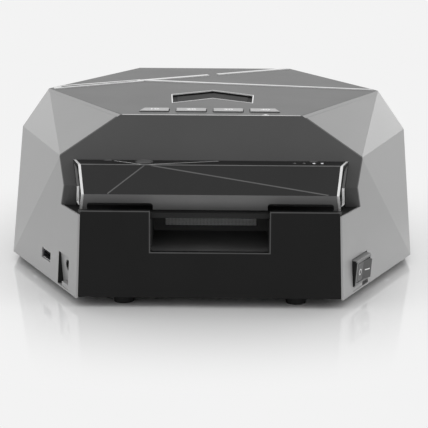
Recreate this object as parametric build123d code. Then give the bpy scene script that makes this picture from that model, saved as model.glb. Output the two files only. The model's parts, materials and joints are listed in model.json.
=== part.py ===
from build123d import *
import os
from math import atan, cos, degrees, radians, sqrt, tan

os.makedirs("parts", exist_ok=True)

# A compact desktop laser cutter, in millimetres.
# Origin on the floor under the middle of the hexagonal top; +Z up, front towards -Y, +X to the right.

# ---- outer form ----
TOP_SIDE = 100.0                 # side of the regular hexagon on top
TOP_Z = 98.0
SHOULDER_OUT = 16.5              # widest corner of each flank, beyond the top's side corner
SHOULDER_DROP = 23.5
CHEEK_OUT = (32.5, 10.9)         # corner between flank and slope, beyond the top's near corner
CHEEK_DROP = 21.0
SKIRT_OUT = 19.0                 # bottom corner of each flank, beyond the top's side corner
SKIRT_Y = 36.0
TOE_OUT = (22.0, 41.4)           # bottom corner beside the front panel, beyond the top's near corner
SHELL_BOTTOM_Z = 5.0
LEDGE_DROP = 47.3                # from the top down to the shelf in front of the fascia
LEDGE_REACH = 38.2               # from the top's front edge out to the shelf's
KNEE_RISE = 11.3                 # above the shelf, where the front slope turns back under itself
KNEE_BACK = 2.3                  # how far it turns back down to the shelf
WALL = 2.4                       # housing wall
RIM = 0.9                        # housing wall where the panel and shelf are let in
FIT = 0.3                        # gap between pieces that are let into each other
RUNNING = 0.05                   # radial clearance of a shaft in its bore

# ---- top cover ----
COVER_EDGE_T = 1.2
COVER_T = 3.2
COVER_LIP_H = 2.0
COVER_LIP_T = 1.6
TRIM_DEPTH = 0.5
TRIM_PROUD = 0.5
TRIM_W = 3.4
TRIM_WIDE_W = (8.0, 5.6)         # strip in the left corner, from its outer end to the fork
TRIM_GROOVE_W = (3.2, 2.0)
TRIM_GROOVE_X = (-93.0, -48.0)
TRIM_GROOVE_DEPTH = 0.2
FORK_X = -45.3                   # where the two trim strips meet
FORK_OFFSET = 0.9
TRIM_GAP_X = (-4.0, 2.0)         # break in the long strip
TRIM_END = 1.2                   # how far behind the right corner the cross strip ends
EDGE_TRIM_W = 0.9
CHEVRON_BACK = 83.8              # from the top's front edge back to the chevron's tip
CHEVRON = [(-24.8, -16.1), (0.0, 0.0), (24.4, -17.5), (23.5, -45.1), (0.0, -29.4), (-23.3, -46.1)]
CHEVRON_DEPTH = 2.2
CHEVRON_SINK = 1.6               # window surface below the cover
BEZEL_W = 0.7
BEZEL_T = 0.5
BEZEL_PROUD = 0.15

# ---- keys ----
KEY_BACK = (9.6, 18.3)           # behind the top's front edge
KEY_SPANS = [(-40.2, -24.0), (-19.8, -3.1), (1.0, 17.5), (21.6, 38.0)]
KEY_TAPER = 2.2                  # the outer ends of the row are cut at a slant
KEY_PROUD = 0.8
KEY_TRAVEL = 0.6
KEY_FLANGE = 0.8
KEY_STEM_R = 1.5
KEY_ROOM = 2.8                   # stem length between the flange and the switch
SWITCH_SIZE = 6.0
SWITCH_H = 3.3
PLUNGER_SIZE = 3.0
PLUNGER_H = 1.0
BOARD_T = 1.6
KEY_BOARD_X = 50.0
KEY_BOARD_W = 19.0
KEY_POST_X = 46.5
KEY_POST_R = 2.6

# ---- fascia and shelf ----
FASCIA_EDGE_T = 1.2
FASCIA_T = 2.6
SHELF_T = 2.7
SHELF_SET_BACK = 4.8             # front edge of the shelf plate behind the panel's face
FEED_SLOT_IN = 19.8              # end of the slot inside the hood's end
FEED_SLOT_RISE = (1.5, 6.5)      # above the shelf

# ---- hood ----
HINGE_REACH = 14.3               # in front of the top's front edge
HINGE_RISE = 23.5                # above the shelf
BARREL_R = 1.3
PIN_R = 0.6
PIN_REACH = 5.5
EAR_R = 1.3
EAR_IN = 18.8                    # ear inside the hood's end
EAR_W = 4.0
HOOD_TOP_AT = (11.6, 1.2)        # front edge of the hood's top, before and above the hinge
HOOD_NOSE_AT = (18.1, 9.8)       # foremost edge, before the hinge and above the shelf
HOOD_LIP_AT = (13.7, 0.4)        # bottom edge of the lip, before the hinge and above the shelf
HOOD_T = 1.6
HOOD_END_OUT = 24.8              # end of the hood beyond the top's near corner
HOOD_END_SLANT = 0.311           # the ends close in towards the nose
HOOD_RIM_T = 1.4
HOOD_RIM_W = 2.0
HOOD_WINDOW_START = 31.0
HOOD_WINDOW_IN = 8.3             # outer end of each window inside the hood's end
HOOD_WINDOW_RISE = 4.5
HOOD_WINDOW_R = 1.6
INLAY_W = 0.6
INLAY_DEPTH = 0.35
INLAY_PROUD = 0.05
INLAY_END = 0.35                 # from the edges of the face to the strips' ends
FACE_INLAYS = [(0.4, -19.1), (4.0, 99.3)]   # x beside the button at the upper and lower end
TOP_INLAYS = [(-0.2, -16.5, 2.1), (0.6, 40.1, 1.3)]   # the same, and the rear end's place before the hinge
BUTTON_X = -36.0
BUTTON_AHEAD = 5.3               # before the hinge
BUTTON_R = 4.2
BUTTON_RING_R = 4.8
BUTTON_PROUD = 0.7
BUTTON_TRAVEL = 0.6
LAMPS_IN = [29.3, 24.2, 18.9, 14.5]   # inside the hood's end
LAMP_AHEAD = 5.1
LAMP_SIZE = 1.5
HOOD_BOARD_DROP = 3.8            # below the hinge
HOOD_BOARD_T = 1.0
HOOD_BOARD_IN = 8.8
HOOD_BOARD_AHEAD = (10.7, 1.7)
HOOD_POST_SIZE = 4.0

# ---- drawer ----
PANEL_T = 3.0
PANEL_RISE = 2.1                 # top of the panel above the shelf
PANEL_SINK = 0.2
PANEL_BOTTOM = 5.6
NOTCH_X = 32.0
NOTCH_DROP = 20.2                # from the shelf down to the notch floor
NOTCH_R = 1.2
PANEL_TRIM_W = 0.6
PANEL_TRIM_T = 0.6
POCKET_REACH = 44.8              # from the front of the ledge back to the pocket's wall
POCKET_T = 1.6
MESH_IN = 5.7                    # mesh inside the pocket's side
MESH_RISE = (2.5, 14.5)
MESH_T = 1.0
MESH_RIM = 1.5
MESH_SLOT_W = 2.4
MESH_SLOTS = 11
TRAY_IN = 8.0                    # side of the tray inside the bottom corner of the panel
TRAY_BOTTOM = 9.0
TRAY_DROP = 3.3                  # top of the tray below the shelf
TRAY_SHORT = 18.6                # rear of the tray before the top's rear edge
TRAY_T = 1.6
TRAY_LEDGE = 2.0
VENT_X = 36.0                    # half width of the opening in the tray's rear wall
VENT_Z = (14.0, 36.0)
BED_T = 6.0
BED_CELL = 9.0                   # radius of a honeycomb cell
BED_WEB = 1.2
BED_RIM = 4.5
RUNNER_Z = (20.0, 24.0)
RUNNER_W = 2.2
CHANNEL_T = 1.4
CHANNEL_LIP = 1.5
CHANNEL_BACK = 32.8              # front end of the channels behind the front of the ledge
DRAWER_TRAVEL = 110.0

# ---- base ----
BASE_Z = (4.6, 7.2)
BOSS_R = 4.0
BOSS_H = 10.8
BOSS_IN = 17.2                   # flank bosses inside the skirt corner
BOSS_Y = -58.0
REAR_BOSS_X = 58.0
REAR_BOSS_IN = 7.6               # rear bosses before the toe corner
SCREW_R = 1.3
SCREW_HEAD_R = 2.7
SCREW_HEAD_H = 1.6
SCREW_LENGTH = 9.0
FOOT_R = 5.9
FOOT_TAPER = 0.5
FOOT_X = 47.0
FOOT_IN = (12.5, 16.0)           # front and rear feet inside the toe corners
BASE_SLOT = (30.0, 2.4)
BASE_SLOTS = 7
BASE_SLOT_PITCH = 6.0

# ---- ports on the front flanks, measured along the flank from its front corner ----
RECESS_ROCKER = (13.8, 35.6)
RECESS_INLET = (12.5, 28.0)
RECESS_TOP = 19.2                # above the housing's bottom edge
RECESS_BOTTOM = 0.9
RECESS_SHALLOW = 1.0
RECESS_DEEP = 3.5
RECESS_WALL = 1.6
SILL_H = 2.5
SILL_SINK = 0.4
SILL_SHARE = 0.66
SILL_GAP = 0.5
BEZEL_SIZE = (21.0, 15.0)
BEZEL_H = 4.0
BEZEL_CORNER = 1.0
BEZEL_CENTRE = (24.6, 11.3)
SWITCH_BODY = (18.8, 12.8, 9.0)
TERMINAL_SIZE = (0.8, 4.8, 4.0)
TERMINAL_PITCH = 5.0
ROCKER_WELL = (17.2, 11.4, 7.8)
ROCKER_SIZE = (15.2, 16.4, 10.8) # length at the top, length at the pivot, width
ROCKER_PIVOT = 3.6               # below the bezel's face
ROCKER_RISE = 3.7
ROCKER_KEEL = (0.8, 1.8)
ROCKER_TILT = 8.0
ROCKER_STUB = (1.0, 0.8)
INLET_HOLE = (17.4, 13.3)
INLET_HOLE_R = 3.5
JACK_SIZE = (9.0, 10.0, 9.0)
JACK_DEPTH = 8.0
JACK_BORE_R = 2.9
JACK_PIN_R = 1.0
JACK_PIN_SINK = 2.0
USB_CENTRE = (47.8, 12.1)
USB_OPENING = (13.8, 5.9)
USB_SHELL = (13.2, 5.3, 10.5)
USB_SHELL_T = 0.4
USB_SINK = 0.6
USB_TONGUE = (10.8, 1.8, 8.3)

# ---- exhaust ----
FAN_Z = 42.0
FAN_SIZE = 50.0
FAN_DEPTH = 15.0
FAN_RIM = 1.5                    # thinnest wall of the frame beside its bore
FAN_CORNER = 3.0
FAN_TIP_GAP = 0.8
FAN_HUB_R = 10.0
FAN_BACK_T = 2.5
FAN_STRUT = (3.0, 2.0)
FAN_BLADES = 7
FAN_BLADE_T = 1.2
FAN_BLADE_CHORD = 10.0
FAN_BLADE_PITCH = 42.0
FAN_SHAFT_R = 1.5
FAN_FRONT_GAP = 0.8
GUIDE_T = 1.6                    # guides on the rear wall that hold the fan
GUIDE_LIP = 2.5
GRILLE_IN = 3.0                  # grille inside the fan's outline
GRILLE_T = 2.2
GRILLE_FRAME = 2.2
GRILLE_SLATS = 8
GRILLE_SLAT_T = 1.2
GRILLE_SLAT_TILT = 40.0

# ---- gantry ----
ROD_R = 3.0
RAIL_OUT = 10.0                  # rails outside the tray
RAIL_RISE = 15.3                 # rails above the shelf
RAIL_PAST = 3.0
POST_SIZE = (12.0, 8.0)
POST_CORNER = 3.0
POST_IN = 1.6                    # rail posts inside the top's front and rear edges
POST_TOP = 6.0                   # above the rails' centre
GANTRY_Y = 20.0
GANTRY_TRAVEL = 34.0
CARRIAGE_IN = 9.0                # carriage from inside to outside of the rail
CARRIAGE_OUT = 7.5
CARRIAGE_Y = 14.0
CARRIAGE_RISE = (-8.0, 17.5)
CARRIAGE_ARM = 6.5               # arm past the Y screw
ARM_RISE = (-7.0, 10.5)
BUSH_R = 4.6
CROSS_RISE = 14.0                # X rods above the rails
CROSS_R = 2.5
CROSS_PITCH = 18.0
CROSS_SOCKET = 8.0
CROSS_SCREW_RISE = 5.5
SCREW_ROD_R = 2.5
SCREW_ROOM = 0.6
SCREW_END = 2.4
Y_SCREW_IN = 18.0                # Y screw inside the rail
Y_SCREW_ENDS = (2.0, 10.5)       # past the front post, short of the rear post
NUT_R = 4.0
NUT_L = 12.0
BEARING_HALF = 6.0
Y_MOTOR_SIZE = 20.0
Y_MOTOR_L = 19.0
Y_MOTOR_BACK = 13.0              # motor face before the rear post
Y_MOTOR_CHAMFER = 2.0
BRACKET_T = 2.4
BRACKET_FOOT = 7.5
BRACKET_RIM = 1.0
X_MOTOR_R = 7.0
X_MOTOR_L = 13.0
X_MOTOR_BORE = 4.0
HEAD_TRAVEL = 34.0
HEAD_X = 14.0
HEAD_Y = 14.0
HEAD_RISE = (-1.0, 20.0)
LASER_SIZE = 24.0
LASER_RISE = (-6.0, 18.0)
FIN_W = 1.6
FIN_DEPTH = 3.0
FIN_COUNT = 6
LENS_RING_R = 8.0
LENS_RING_H = 5.0
LENS_R = 5.5
LENS_T = 2.0
LENS_SINK = 0.6

# ---- electronics ----
BOARD_IN = (47.0, 15.0)          # inner and outer edge inside the skirt corner
BOARD_Y = 44.0
BOARD_Z = 12.0
STANDOFF_R = 2.9
STANDOFF_IN = 4.0
CHIP_SIZE = (14.0, 14.0, 1.8)
SINK_SIZE = (12.0, 12.0, 8.0)
COIL_SIZE = (8.0, 8.0, 11.0)
SOCKET_SIZE = (8.0, 8.0, 9.0)
SINK_SPOTS = [(0.0, -28.0), (0.0, 20.0)]
COIL_SPOTS = [(9.0, -14.0), (9.0, 33.0)]
SOCKET_SPOT = (-9.0, 37.0)

# ---- derived ----
TOP_DEPTH = TOP_SIDE * sqrt(3) / 2
FRONT_Y = -TOP_DEPTH
NEAR_X = TOP_SIDE / 2
SHOULDER = (TOP_SIDE + SHOULDER_OUT, 0.0, TOP_Z - SHOULDER_DROP)
CHEEK = (NEAR_X + CHEEK_OUT[0], TOP_DEPTH + CHEEK_OUT[1], TOP_Z - CHEEK_DROP)
SKIRT = (TOP_SIDE + SKIRT_OUT, SKIRT_Y, SHELL_BOTTOM_Z)
TOE = (NEAR_X + TOE_OUT[0], TOP_DEPTH + TOE_OUT[1], SHELL_BOTTOM_Z)
LEDGE_Z = TOP_Z - LEDGE_DROP
LEDGE_FRONT_Y = FRONT_Y - LEDGE_REACH
KNEE_Z = LEDGE_Z + KNEE_RISE
COVER_SEAT_Z = TOP_Z - COVER_EDGE_T
COVER_UNDER_Z = TOP_Z - COVER_T
CHEVRON_TIP_Y = FRONT_Y + CHEVRON_BACK
KEY_Y = (FRONT_Y + KEY_BACK[0], FRONT_Y + KEY_BACK[1])
KEY_BOARD_Y = (sum(KEY_Y) / 2 - KEY_BOARD_W / 2, sum(KEY_Y) / 2 + KEY_BOARD_W / 2)
SHELF_UNDER_Z = LEDGE_Z - SHELF_T
PANEL_TOP_Z = LEDGE_Z + PANEL_RISE
SHELF_FRONT_Y = LEDGE_FRONT_Y + SHELF_SET_BACK
HINGE_Y = FRONT_Y - HINGE_REACH
HINGE_Z = LEDGE_Z + HINGE_RISE
HOOD_END_X = NEAR_X + HOOD_END_OUT
HOOD_TOP = (HINGE_Y - HOOD_TOP_AT[0], HINGE_Z + HOOD_TOP_AT[1])
HOOD_NOSE = (HINGE_Y - HOOD_NOSE_AT[0], LEDGE_Z + HOOD_NOSE_AT[1])
HOOD_LIP = (HINGE_Y - HOOD_LIP_AT[0], LEDGE_Z + HOOD_LIP_AT[1])
HOOD_WINDOW_X = (HOOD_WINDOW_START, HOOD_END_X - HOOD_WINDOW_IN)
HOOD_WINDOW_Z = LEDGE_Z + HOOD_WINDOW_RISE
HOOD_BOARD_Z = HINGE_Z - HOOD_BOARD_DROP
HOOD_BOARD_X = (BUTTON_X - HOOD_BOARD_IN, HOOD_END_X - HOOD_BOARD_IN)
HOOD_BOARD_Y = (HINGE_Y - HOOD_BOARD_AHEAD[0], HINGE_Y - HOOD_BOARD_AHEAD[1])
EAR_X = HOOD_END_X - EAR_IN
BUTTON = (BUTTON_X, HINGE_Y - BUTTON_AHEAD)
LAMPS = [(HOOD_END_X - inside, HINGE_Y - LAMP_AHEAD) for inside in LAMPS_IN]
FEED_SLOT_X = HOOD_END_X - FEED_SLOT_IN
FEED_SLOT_Z = (LEDGE_Z + FEED_SLOT_RISE[0], LEDGE_Z + FEED_SLOT_RISE[1])
NOTCH_Z = LEDGE_Z - NOTCH_DROP
MESH_X = NOTCH_X - MESH_IN
MESH_Z = (NOTCH_Z + MESH_RISE[0], NOTCH_Z + MESH_RISE[1])
POCKET_BACK_Y = LEDGE_FRONT_Y + POCKET_REACH
TRAY_BACK = TOP_DEPTH - TRAY_SHORT
TRAY_X = TOE[0] - TRAY_IN
TRAY_Z = (TRAY_BOTTOM, LEDGE_Z - TRAY_DROP)
CHANNEL_Y = (LEDGE_FRONT_Y + CHANNEL_BACK, TRAY_BACK)
BOSS_SPOTS = [(SKIRT[0] - BOSS_IN, BOSS_Y), (REAR_BOSS_X, TOE[1] - REAR_BOSS_IN)]
BOSS_TOP_Z = BASE_Z[1] + BOSS_H
FOOT_SPOTS = [(FOOT_X, FOOT_IN[0] - TOE[1]), (FOOT_X, TOE[1] - FOOT_IN[1])]
FAN_BORE_R = FAN_SIZE / 2 - FAN_RIM
FAN_TIP_R = FAN_BORE_R - FAN_TIP_GAP
FAN_FACE = -WALL - FIT
GRILLE_SIZE = FAN_SIZE - 2 * GRILLE_IN
POST_Y = TOP_DEPTH - POST_IN
RAIL_X = TRAY_X + RAIL_OUT
RAIL_Z = LEDGE_Z + RAIL_RISE
RAIL_END = POST_Y + RAIL_PAST
POST_TOP_Z = RAIL_Z + POST_TOP
CARRIAGE_X = (RAIL_X - CARRIAGE_IN, RAIL_X + CARRIAGE_OUT)
CARRIAGE_Z = (RAIL_Z + CARRIAGE_RISE[0], RAIL_Z + CARRIAGE_RISE[1])
Y_SCREW_X = RAIL_X - Y_SCREW_IN
Y_SCREW_Y = (-POST_Y - Y_SCREW_ENDS[0], POST_Y - Y_SCREW_ENDS[1])
CARRIAGE_ARM_X = Y_SCREW_X - CARRIAGE_ARM
CROSS_Z = RAIL_Z + CROSS_RISE
CROSS_SCREW_Z = RAIL_Z + CROSS_SCREW_RISE
Y_MOTOR_Y = (POST_Y - Y_MOTOR_BACK, POST_Y - Y_MOTOR_BACK + Y_MOTOR_L)
HEAD_Z = (RAIL_Z + HEAD_RISE[0], RAIL_Z + HEAD_RISE[1])
LASER_Y = GANTRY_Y - HEAD_Y - LASER_SIZE / 2
LASER_Z = (RAIL_Z + LASER_RISE[0], RAIL_Z + LASER_RISE[1])
BOARD_X = (SKIRT[0] - BOARD_IN[0], SKIRT[0] - BOARD_IN[1])
BLANK = 320.0
LOW = (Align.CENTER, Align.CENTER, Align.MIN)
HIGH = (Align.CENTER, Align.CENTER, Align.MAX)
MIDDLE = Vector(0, 0, TOP_Z / 2)


# ---- helpers ----
def save(name, *solids):
    """Write one sub-part; several solids make one group."""
    shape = solids[0] if len(solids) == 1 else Compound(children=list(solids))
    shape.label = name
    export_step(shape, f"parts/{name}.step")


def slab(x, y, z):
    """Box between two limits on each axis."""
    size = (x[1] - x[0], y[1] - y[0], z[1] - z[0])
    return Pos((x[0] + x[1]) / 2, (y[0] + y[1]) / 2, (z[0] + z[1]) / 2) * Box(*size)


def rod_x(x, y, z, radius):
    """Cylinder along X between two limits."""
    return Pos((x[0] + x[1]) / 2, y, z) * Rot(0, 90, 0) * Cylinder(radius, x[1] - x[0])


def rod_y(x, y, z, radius):
    """Cylinder along Y between two limits."""
    return Pos(x, (y[0] + y[1]) / 2, z) * Rot(90, 0, 0) * Cylinder(radius, y[1] - y[0])


def rod_z(x, y, z, radius):
    """Cylinder along Z between two limits."""
    return Pos(x, y, z[0]) * Cylinder(radius, z[1] - z[0], align=LOW)


def prism_x(points, x):
    """Solid with a (y, z) outline between two x limits."""
    face = Plane.YZ.offset(x[0]) * make_face(Polyline(*points, close=True))
    return extrude(face, x[1] - x[0])


def prism_z(points, z):
    """Solid with an (x, y) outline between two heights."""
    face = Plane.XY.offset(z[0]) * make_face(Polyline(*points, close=True))
    return extrude(face, z[1] - z[0])


def strip(points, width):
    """Outline of a band: a chain of points and the same chain moved to its left by the width."""
    chain = [Vector(*p) for p in points]
    runs = [(b - a).normalized() for a, b in zip(chain, chain[1:])]
    normals = [Vector(-r.Y, r.X) for r in runs]
    moved = [chain[0] + normals[0] * width]
    for point, before, after in zip(chain[1:], normals, normals[1:]):
        moved.append(point + (before + after) * (width / (1 + before.dot(after))))
    moved.append(chain[-1] + normals[-1] * width)
    return [(p.X, p.Y) for p in chain + moved[::-1]]


def mirrored(solid):
    """The solid and its twin on the other side of the machine."""
    return [solid, mirror(solid, about=Plane.YZ)]


# ---- facets of the housing ----
def facet(a, b, c):
    """Plane through three corners, facing out of the housing."""
    a, b, c = Vector(*a), Vector(*b), Vector(*c)
    normal = (b - a).cross(c - a).normalized()
    if normal.dot(a - MIDDLE) < 0:
        normal = normal * -1
    return Plane(origin=a, z_dir=normal)


def corner(point, side, end):
    return (point[0] * side, point[1] * end, point[2])


TOP_WIDE = (TOP_SIDE, 0.0, TOP_Z)
TOP_NEAR = (NEAR_X, TOP_DEPTH, TOP_Z)


def flank_facets():
    planes = []
    for side in (1, -1):
        wide, shoulder = corner(TOP_WIDE, side, 1), corner(SHOULDER, side, 1)
        planes.append(facet(shoulder, corner(SKIRT, side, 1), corner(SKIRT, side, -1)))
        for end in (1, -1):
            near, cheek = corner(TOP_NEAR, side, end), corner(CHEEK, side, end)
            skirt, toe = corner(SKIRT, side, end), corner(TOE, side, end)
            planes.append(facet(wide, near, cheek))
            planes.append(facet(wide, cheek, shoulder))
            planes.append(facet(shoulder, cheek, skirt))
            planes.append(facet(cheek, skirt, toe))
    return planes


def slope_y(z):
    """Front slope: the line from the top edge through the cheek corners, carried on to the knee."""
    return FRONT_Y - (TOP_Z - z) * CHEEK_OUT[1] / CHEEK_DROP


def rear_y(z):
    """Outside of the rear wall below the cheek corners."""
    return CHEEK[1] + (CHEEK[2] - z) * (TOE[1] - CHEEK[1]) / (CHEEK[2] - TOE[2])


FLANKS = flank_facets()
REAR = [facet(corner(TOP_NEAR, 1, 1), corner(TOP_NEAR, -1, 1), corner(CHEEK, 1, 1)),
        facet(corner(CHEEK, 1, 1), corner(CHEEK, -1, 1), corner(TOE, 1, 1))]
KNEE_Y = slope_y(KNEE_Z)
REVEAL_Y = KNEE_Y + KNEE_BACK
SHELF_BACK_Y = REVEAL_Y + FASCIA_EDGE_T
UPPER_FRONT = [facet((0, -TOP_DEPTH, TOP_Z), (1, -TOP_DEPTH, TOP_Z), (0, KNEE_Y, KNEE_Z)),
               facet((0, KNEE_Y, KNEE_Z), (1, KNEE_Y, KNEE_Z), (0, REVEAL_Y, LEDGE_Z))]
LOWER_FRONT = [facet((0, LEDGE_FRONT_Y, LEDGE_Z), (1, LEDGE_FRONT_Y, LEDGE_Z), (0, -TOE[1], TOE[2]))]


def gem(front_planes, inset, front, bottom, top):
    """Block bounded by the facets, each moved in by the inset, between two heights."""
    block = Pos(0, 0, bottom) * Box(BLANK, BLANK, top - bottom, align=LOW)
    for plane in FLANKS + REAR:
        block = split(block, bisect_by=plane.offset(-inset), keep=Keep.BOTTOM)
    for plane in front_planes:
        block = split(block, bisect_by=plane.offset(-front), keep=Keep.BOTTOM)
    return block


def upper(inset, front, bottom, top):
    return gem(UPPER_FRONT, inset, front, bottom, top)


def lower(inset, front, bottom, top):
    return gem(LOWER_FRONT, inset, front, bottom, top)


# ---- flank frame for the ports: x runs back along the flank, y up, z out ----
def flank_frame(s, v, n):
    skirt, toe = Vector(SKIRT[0], -SKIRT[1], SKIRT[2]), Vector(TOE[0], -TOE[1], TOE[2])
    along = (skirt - toe).normalized()
    normal = facet(corner(CHEEK, 1, -1), tuple(skirt), tuple(toe)).z_dir
    base = Plane(origin=toe, x_dir=along, z_dir=normal)
    return base * Pos(s, v, n)


RECESS_SLOPE = (RECESS_DEEP - RECESS_SHALLOW) / (RECESS_TOP - RECESS_BOTTOM)
RECESS_TILT = degrees(atan(RECESS_SLOPE))


def recess_depth(v):
    return RECESS_SHALLOW + (RECESS_TOP - v) * RECESS_SLOPE


def recess_floor(s, v):
    """Frame on the sloped floor of a port recess: z out of the floor."""
    return flank_frame(s, v, -recess_depth(v)) * Rot(RECESS_TILT, 0, 0)


def recess_block(span, grow, reach):
    """Wedge under a recess: from the reach above the flank down to the sloped floor, grown on all sides."""
    top, bottom = RECESS_TOP + grow, max(RECESS_BOTTOM - grow, 0)
    outline = [(top, reach), (top, -recess_depth(top) - grow), (bottom, -recess_depth(bottom) - grow),
               (bottom, reach)]
    face = Plane.YZ * make_face(Polyline(*outline, close=True))
    width = span[1] - span[0] + 2 * grow
    return flank_frame(span[0] - grow, 0, 0) * extrude(face, width)


def recess_sill(span):
    width = (span[1] - span[0]) * SILL_SHARE
    depth = RECESS_DEEP + RECESS_WALL / 2 - SILL_SINK
    sill = Box(width, SILL_H, depth, align=(Align.MIN, Align.MIN, Align.MAX))
    return flank_frame(span[0], RECESS_BOTTOM, -SILL_SINK) * sill


def sill_gap(span):
    """Thin slit between the sill and the sloped floor."""
    width = (span[1] - span[0]) * SILL_SHARE
    slit = Box(width, SILL_GAP, RECESS_DEEP, align=(Align.MIN, Align.MIN, Align.MAX))
    return flank_frame(span[0], RECESS_BOTTOM + SILL_H, 0) * slit


# ---- housing ----
def boss_spots():
    return [(x * side, y) for x, y in BOSS_SPOTS for side in (1, -1)]


def rear_frame(u, v, n):
    """Frame on the rear wall: x to the left seen from behind, y up the wall, z out."""
    plane = Plane(origin=(0, rear_y(FAN_Z), FAN_Z), x_dir=(-1, 0, 0), z_dir=REAR[1].z_dir)
    return plane * Pos(u, v, n)


def housing_shell():
    outer = upper(0, FASCIA_EDGE_T, SHELL_BOTTOM_Z, COVER_SEAT_Z) + lower(0, 0, SHELL_BOTTOM_Z, LEDGE_Z)
    posts = [rod_z(x, y, (BASE_Z[1], BOSS_TOP_Z), BOSS_R) & outer for x, y in boss_spots()]
    shell = outer - upper(WALL, -WALL, 0, TOP_Z + 1) - lower(WALL, -WALL, 0, LEDGE_Z + 1)
    open_front = lower(RIM, -WALL, 0, LEDGE_Z + 1)
    shell -= open_front & slab((-BLANK, BLANK), (-BLANK, SHELF_FRONT_Y), (0, TOP_Z))
    shell -= open_front & slab((-BLANK, BLANK), (-BLANK, SHELF_BACK_Y), (SHELF_UNDER_Z, LEDGE_Z))
    for post in posts:
        shell += post
    for x, y in boss_spots():
        shell -= rod_z(x, y, (0, BASE_Z[0] + SCREW_LENGTH + FIT), SCREW_R)
    for span, side in ((RECESS_ROCKER, 1), (RECESS_INLET, -1)):
        cup = recess_block(span, RECESS_WALL, -WALL / 2)
        hollow = recess_block(span, 0, WALL)
        sill, slit = recess_sill(span), sill_gap(span)
        if side < 0:
            cup, hollow, sill, slit = [mirror(s, about=Plane.YZ) for s in (cup, hollow, sill, slit)]
        shell = shell + cup - hollow + sill - slit
    switch_hole = Box(SWITCH_BODY[0] + FIT, SWITCH_BODY[1] + FIT, 4 * RECESS_DEEP)
    shell -= recess_floor(*BEZEL_CENTRE) * switch_hole
    inlet_hole = recess_floor(*INLET_HOLE) * Cylinder(INLET_HOLE_R, 4 * RECESS_DEEP)
    usb_hole = flank_frame(*USB_CENTRE, 0) * Box(*USB_OPENING, 3 * WALL)
    shell -= mirror(inlet_hole, about=Plane.YZ)
    shell -= mirror(usb_hole, about=Plane.YZ)
    opening = GRILLE_SIZE + 2 * FIT
    shell -= rear_frame(0, 0, 0) * Box(opening, opening, 3 * WALL)
    return shell + fan_guides()


def fan_guides():
    """Hooked rails beside the vent: the fan slides down between them onto a stop."""
    width, reach = FAN_SIZE + 2 * FIT, FAN_DEPTH + 2 * FIT
    root = WALL / 2
    block = Box(width + 2 * GUIDE_T, FAN_SIZE + GUIDE_T, root + reach + GUIDE_T, align=HIGH)
    guides = Pos(0, -GUIDE_T / 2, -root) * block
    room = Box(width, 2 * FAN_SIZE, root + reach, align=(Align.CENTER, Align.MIN, Align.MAX))
    guides -= Pos(0, -FAN_SIZE / 2 - FIT, -root) * room
    guides -= Box(width - 2 * GUIDE_LIP, 3 * FAN_SIZE, 8 * FAN_DEPTH)
    return rear_frame(0, 0, 0) * guides


# ---- top cover ----
def chevron(inset, z):
    points = [(x, CHEVRON_TIP_Y + y) for x, y in CHEVRON]
    outline = Plane.XY.offset(z[0]) * make_face(Polyline(*points, close=True))
    if inset:
        outline = offset(outline, -inset, kind=Kind.INTERSECTION)
    return extrude(outline, z[1] - z[0])


def key_outline(index):
    x0, x1 = KEY_SPANS[index]
    front, back = KEY_Y
    left = KEY_TAPER if index == 0 else 0
    right = KEY_TAPER if index == len(KEY_SPANS) - 1 else 0
    return [(x0, front), (x1, front), (x1 - right, back), (x0 + left, back)]


def key_prism(index, grow, z):
    outline = Plane.XY.offset(z[0]) * make_face(Polyline(*key_outline(index), close=True))
    if grow:
        outline = offset(outline, grow, kind=Kind.INTERSECTION)
    return extrude(outline, z[1] - z[0])


def trim_band(a, b, width_a, width_b, z):
    """Straight strip between two points, its width changing evenly from one end to the other."""
    start, end = Vector(*a), Vector(*b)
    run = (end - start).normalized()
    across = Vector(-run.Y, run.X)
    corners = [start + across * width_a / 2, end + across * width_b / 2,
               end - across * width_b / 2, start - across * width_a / 2]
    return prism_z([(c.X, c.Y) for c in corners], z)


def trim_strips():
    """Two inlaid strips that cross the cover from the left corner, and the strip on its front edge."""
    z = (TOP_Z - TRIM_DEPTH, TOP_Z + TRIM_PROUD)
    inner = upper(EDGE_TRIM_W, 0, TOP_Z - 1, TOP_Z + 1)
    rise = TOP_DEPTH / (TOP_SIDE + NEAR_X)
    at_x = lambda x: (x, (x + TOP_SIDE) * rise)
    long_start = at_x(FORK_X)
    fork = (long_start[0], long_start[1] + FORK_OFFSET)
    wide = trim_band(at_x(-TOP_SIDE + TRIM_WIDE_W[0] / 4), long_start, *TRIM_WIDE_W, z)
    wide -= trim_band(*[at_x(x) for x in TRIM_GROOVE_X], *TRIM_GROOVE_W, (z[1] - TRIM_GROOVE_DEPTH, z[1] + 1))
    first = trim_band(long_start, at_x(TRIM_GAP_X[0]), TRIM_W, TRIM_W, z)
    second = trim_band(at_x(TRIM_GAP_X[1]), at_x(NEAR_X), TRIM_W, TRIM_W, z)
    cross = trim_band(fork, (TOP_SIDE, TRIM_END), TRIM_W, TRIM_W * 0.6, z)
    forked = (wide + first + cross) & inner
    edge = slab((-NEAR_X + EDGE_TRIM_W, NEAR_X - EDGE_TRIM_W),
                (FRONT_Y, FRONT_Y + EDGE_TRIM_W), (TOP_Z - TRIM_DEPTH, TOP_Z))
    return [forked, second & inner, edge]


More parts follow.
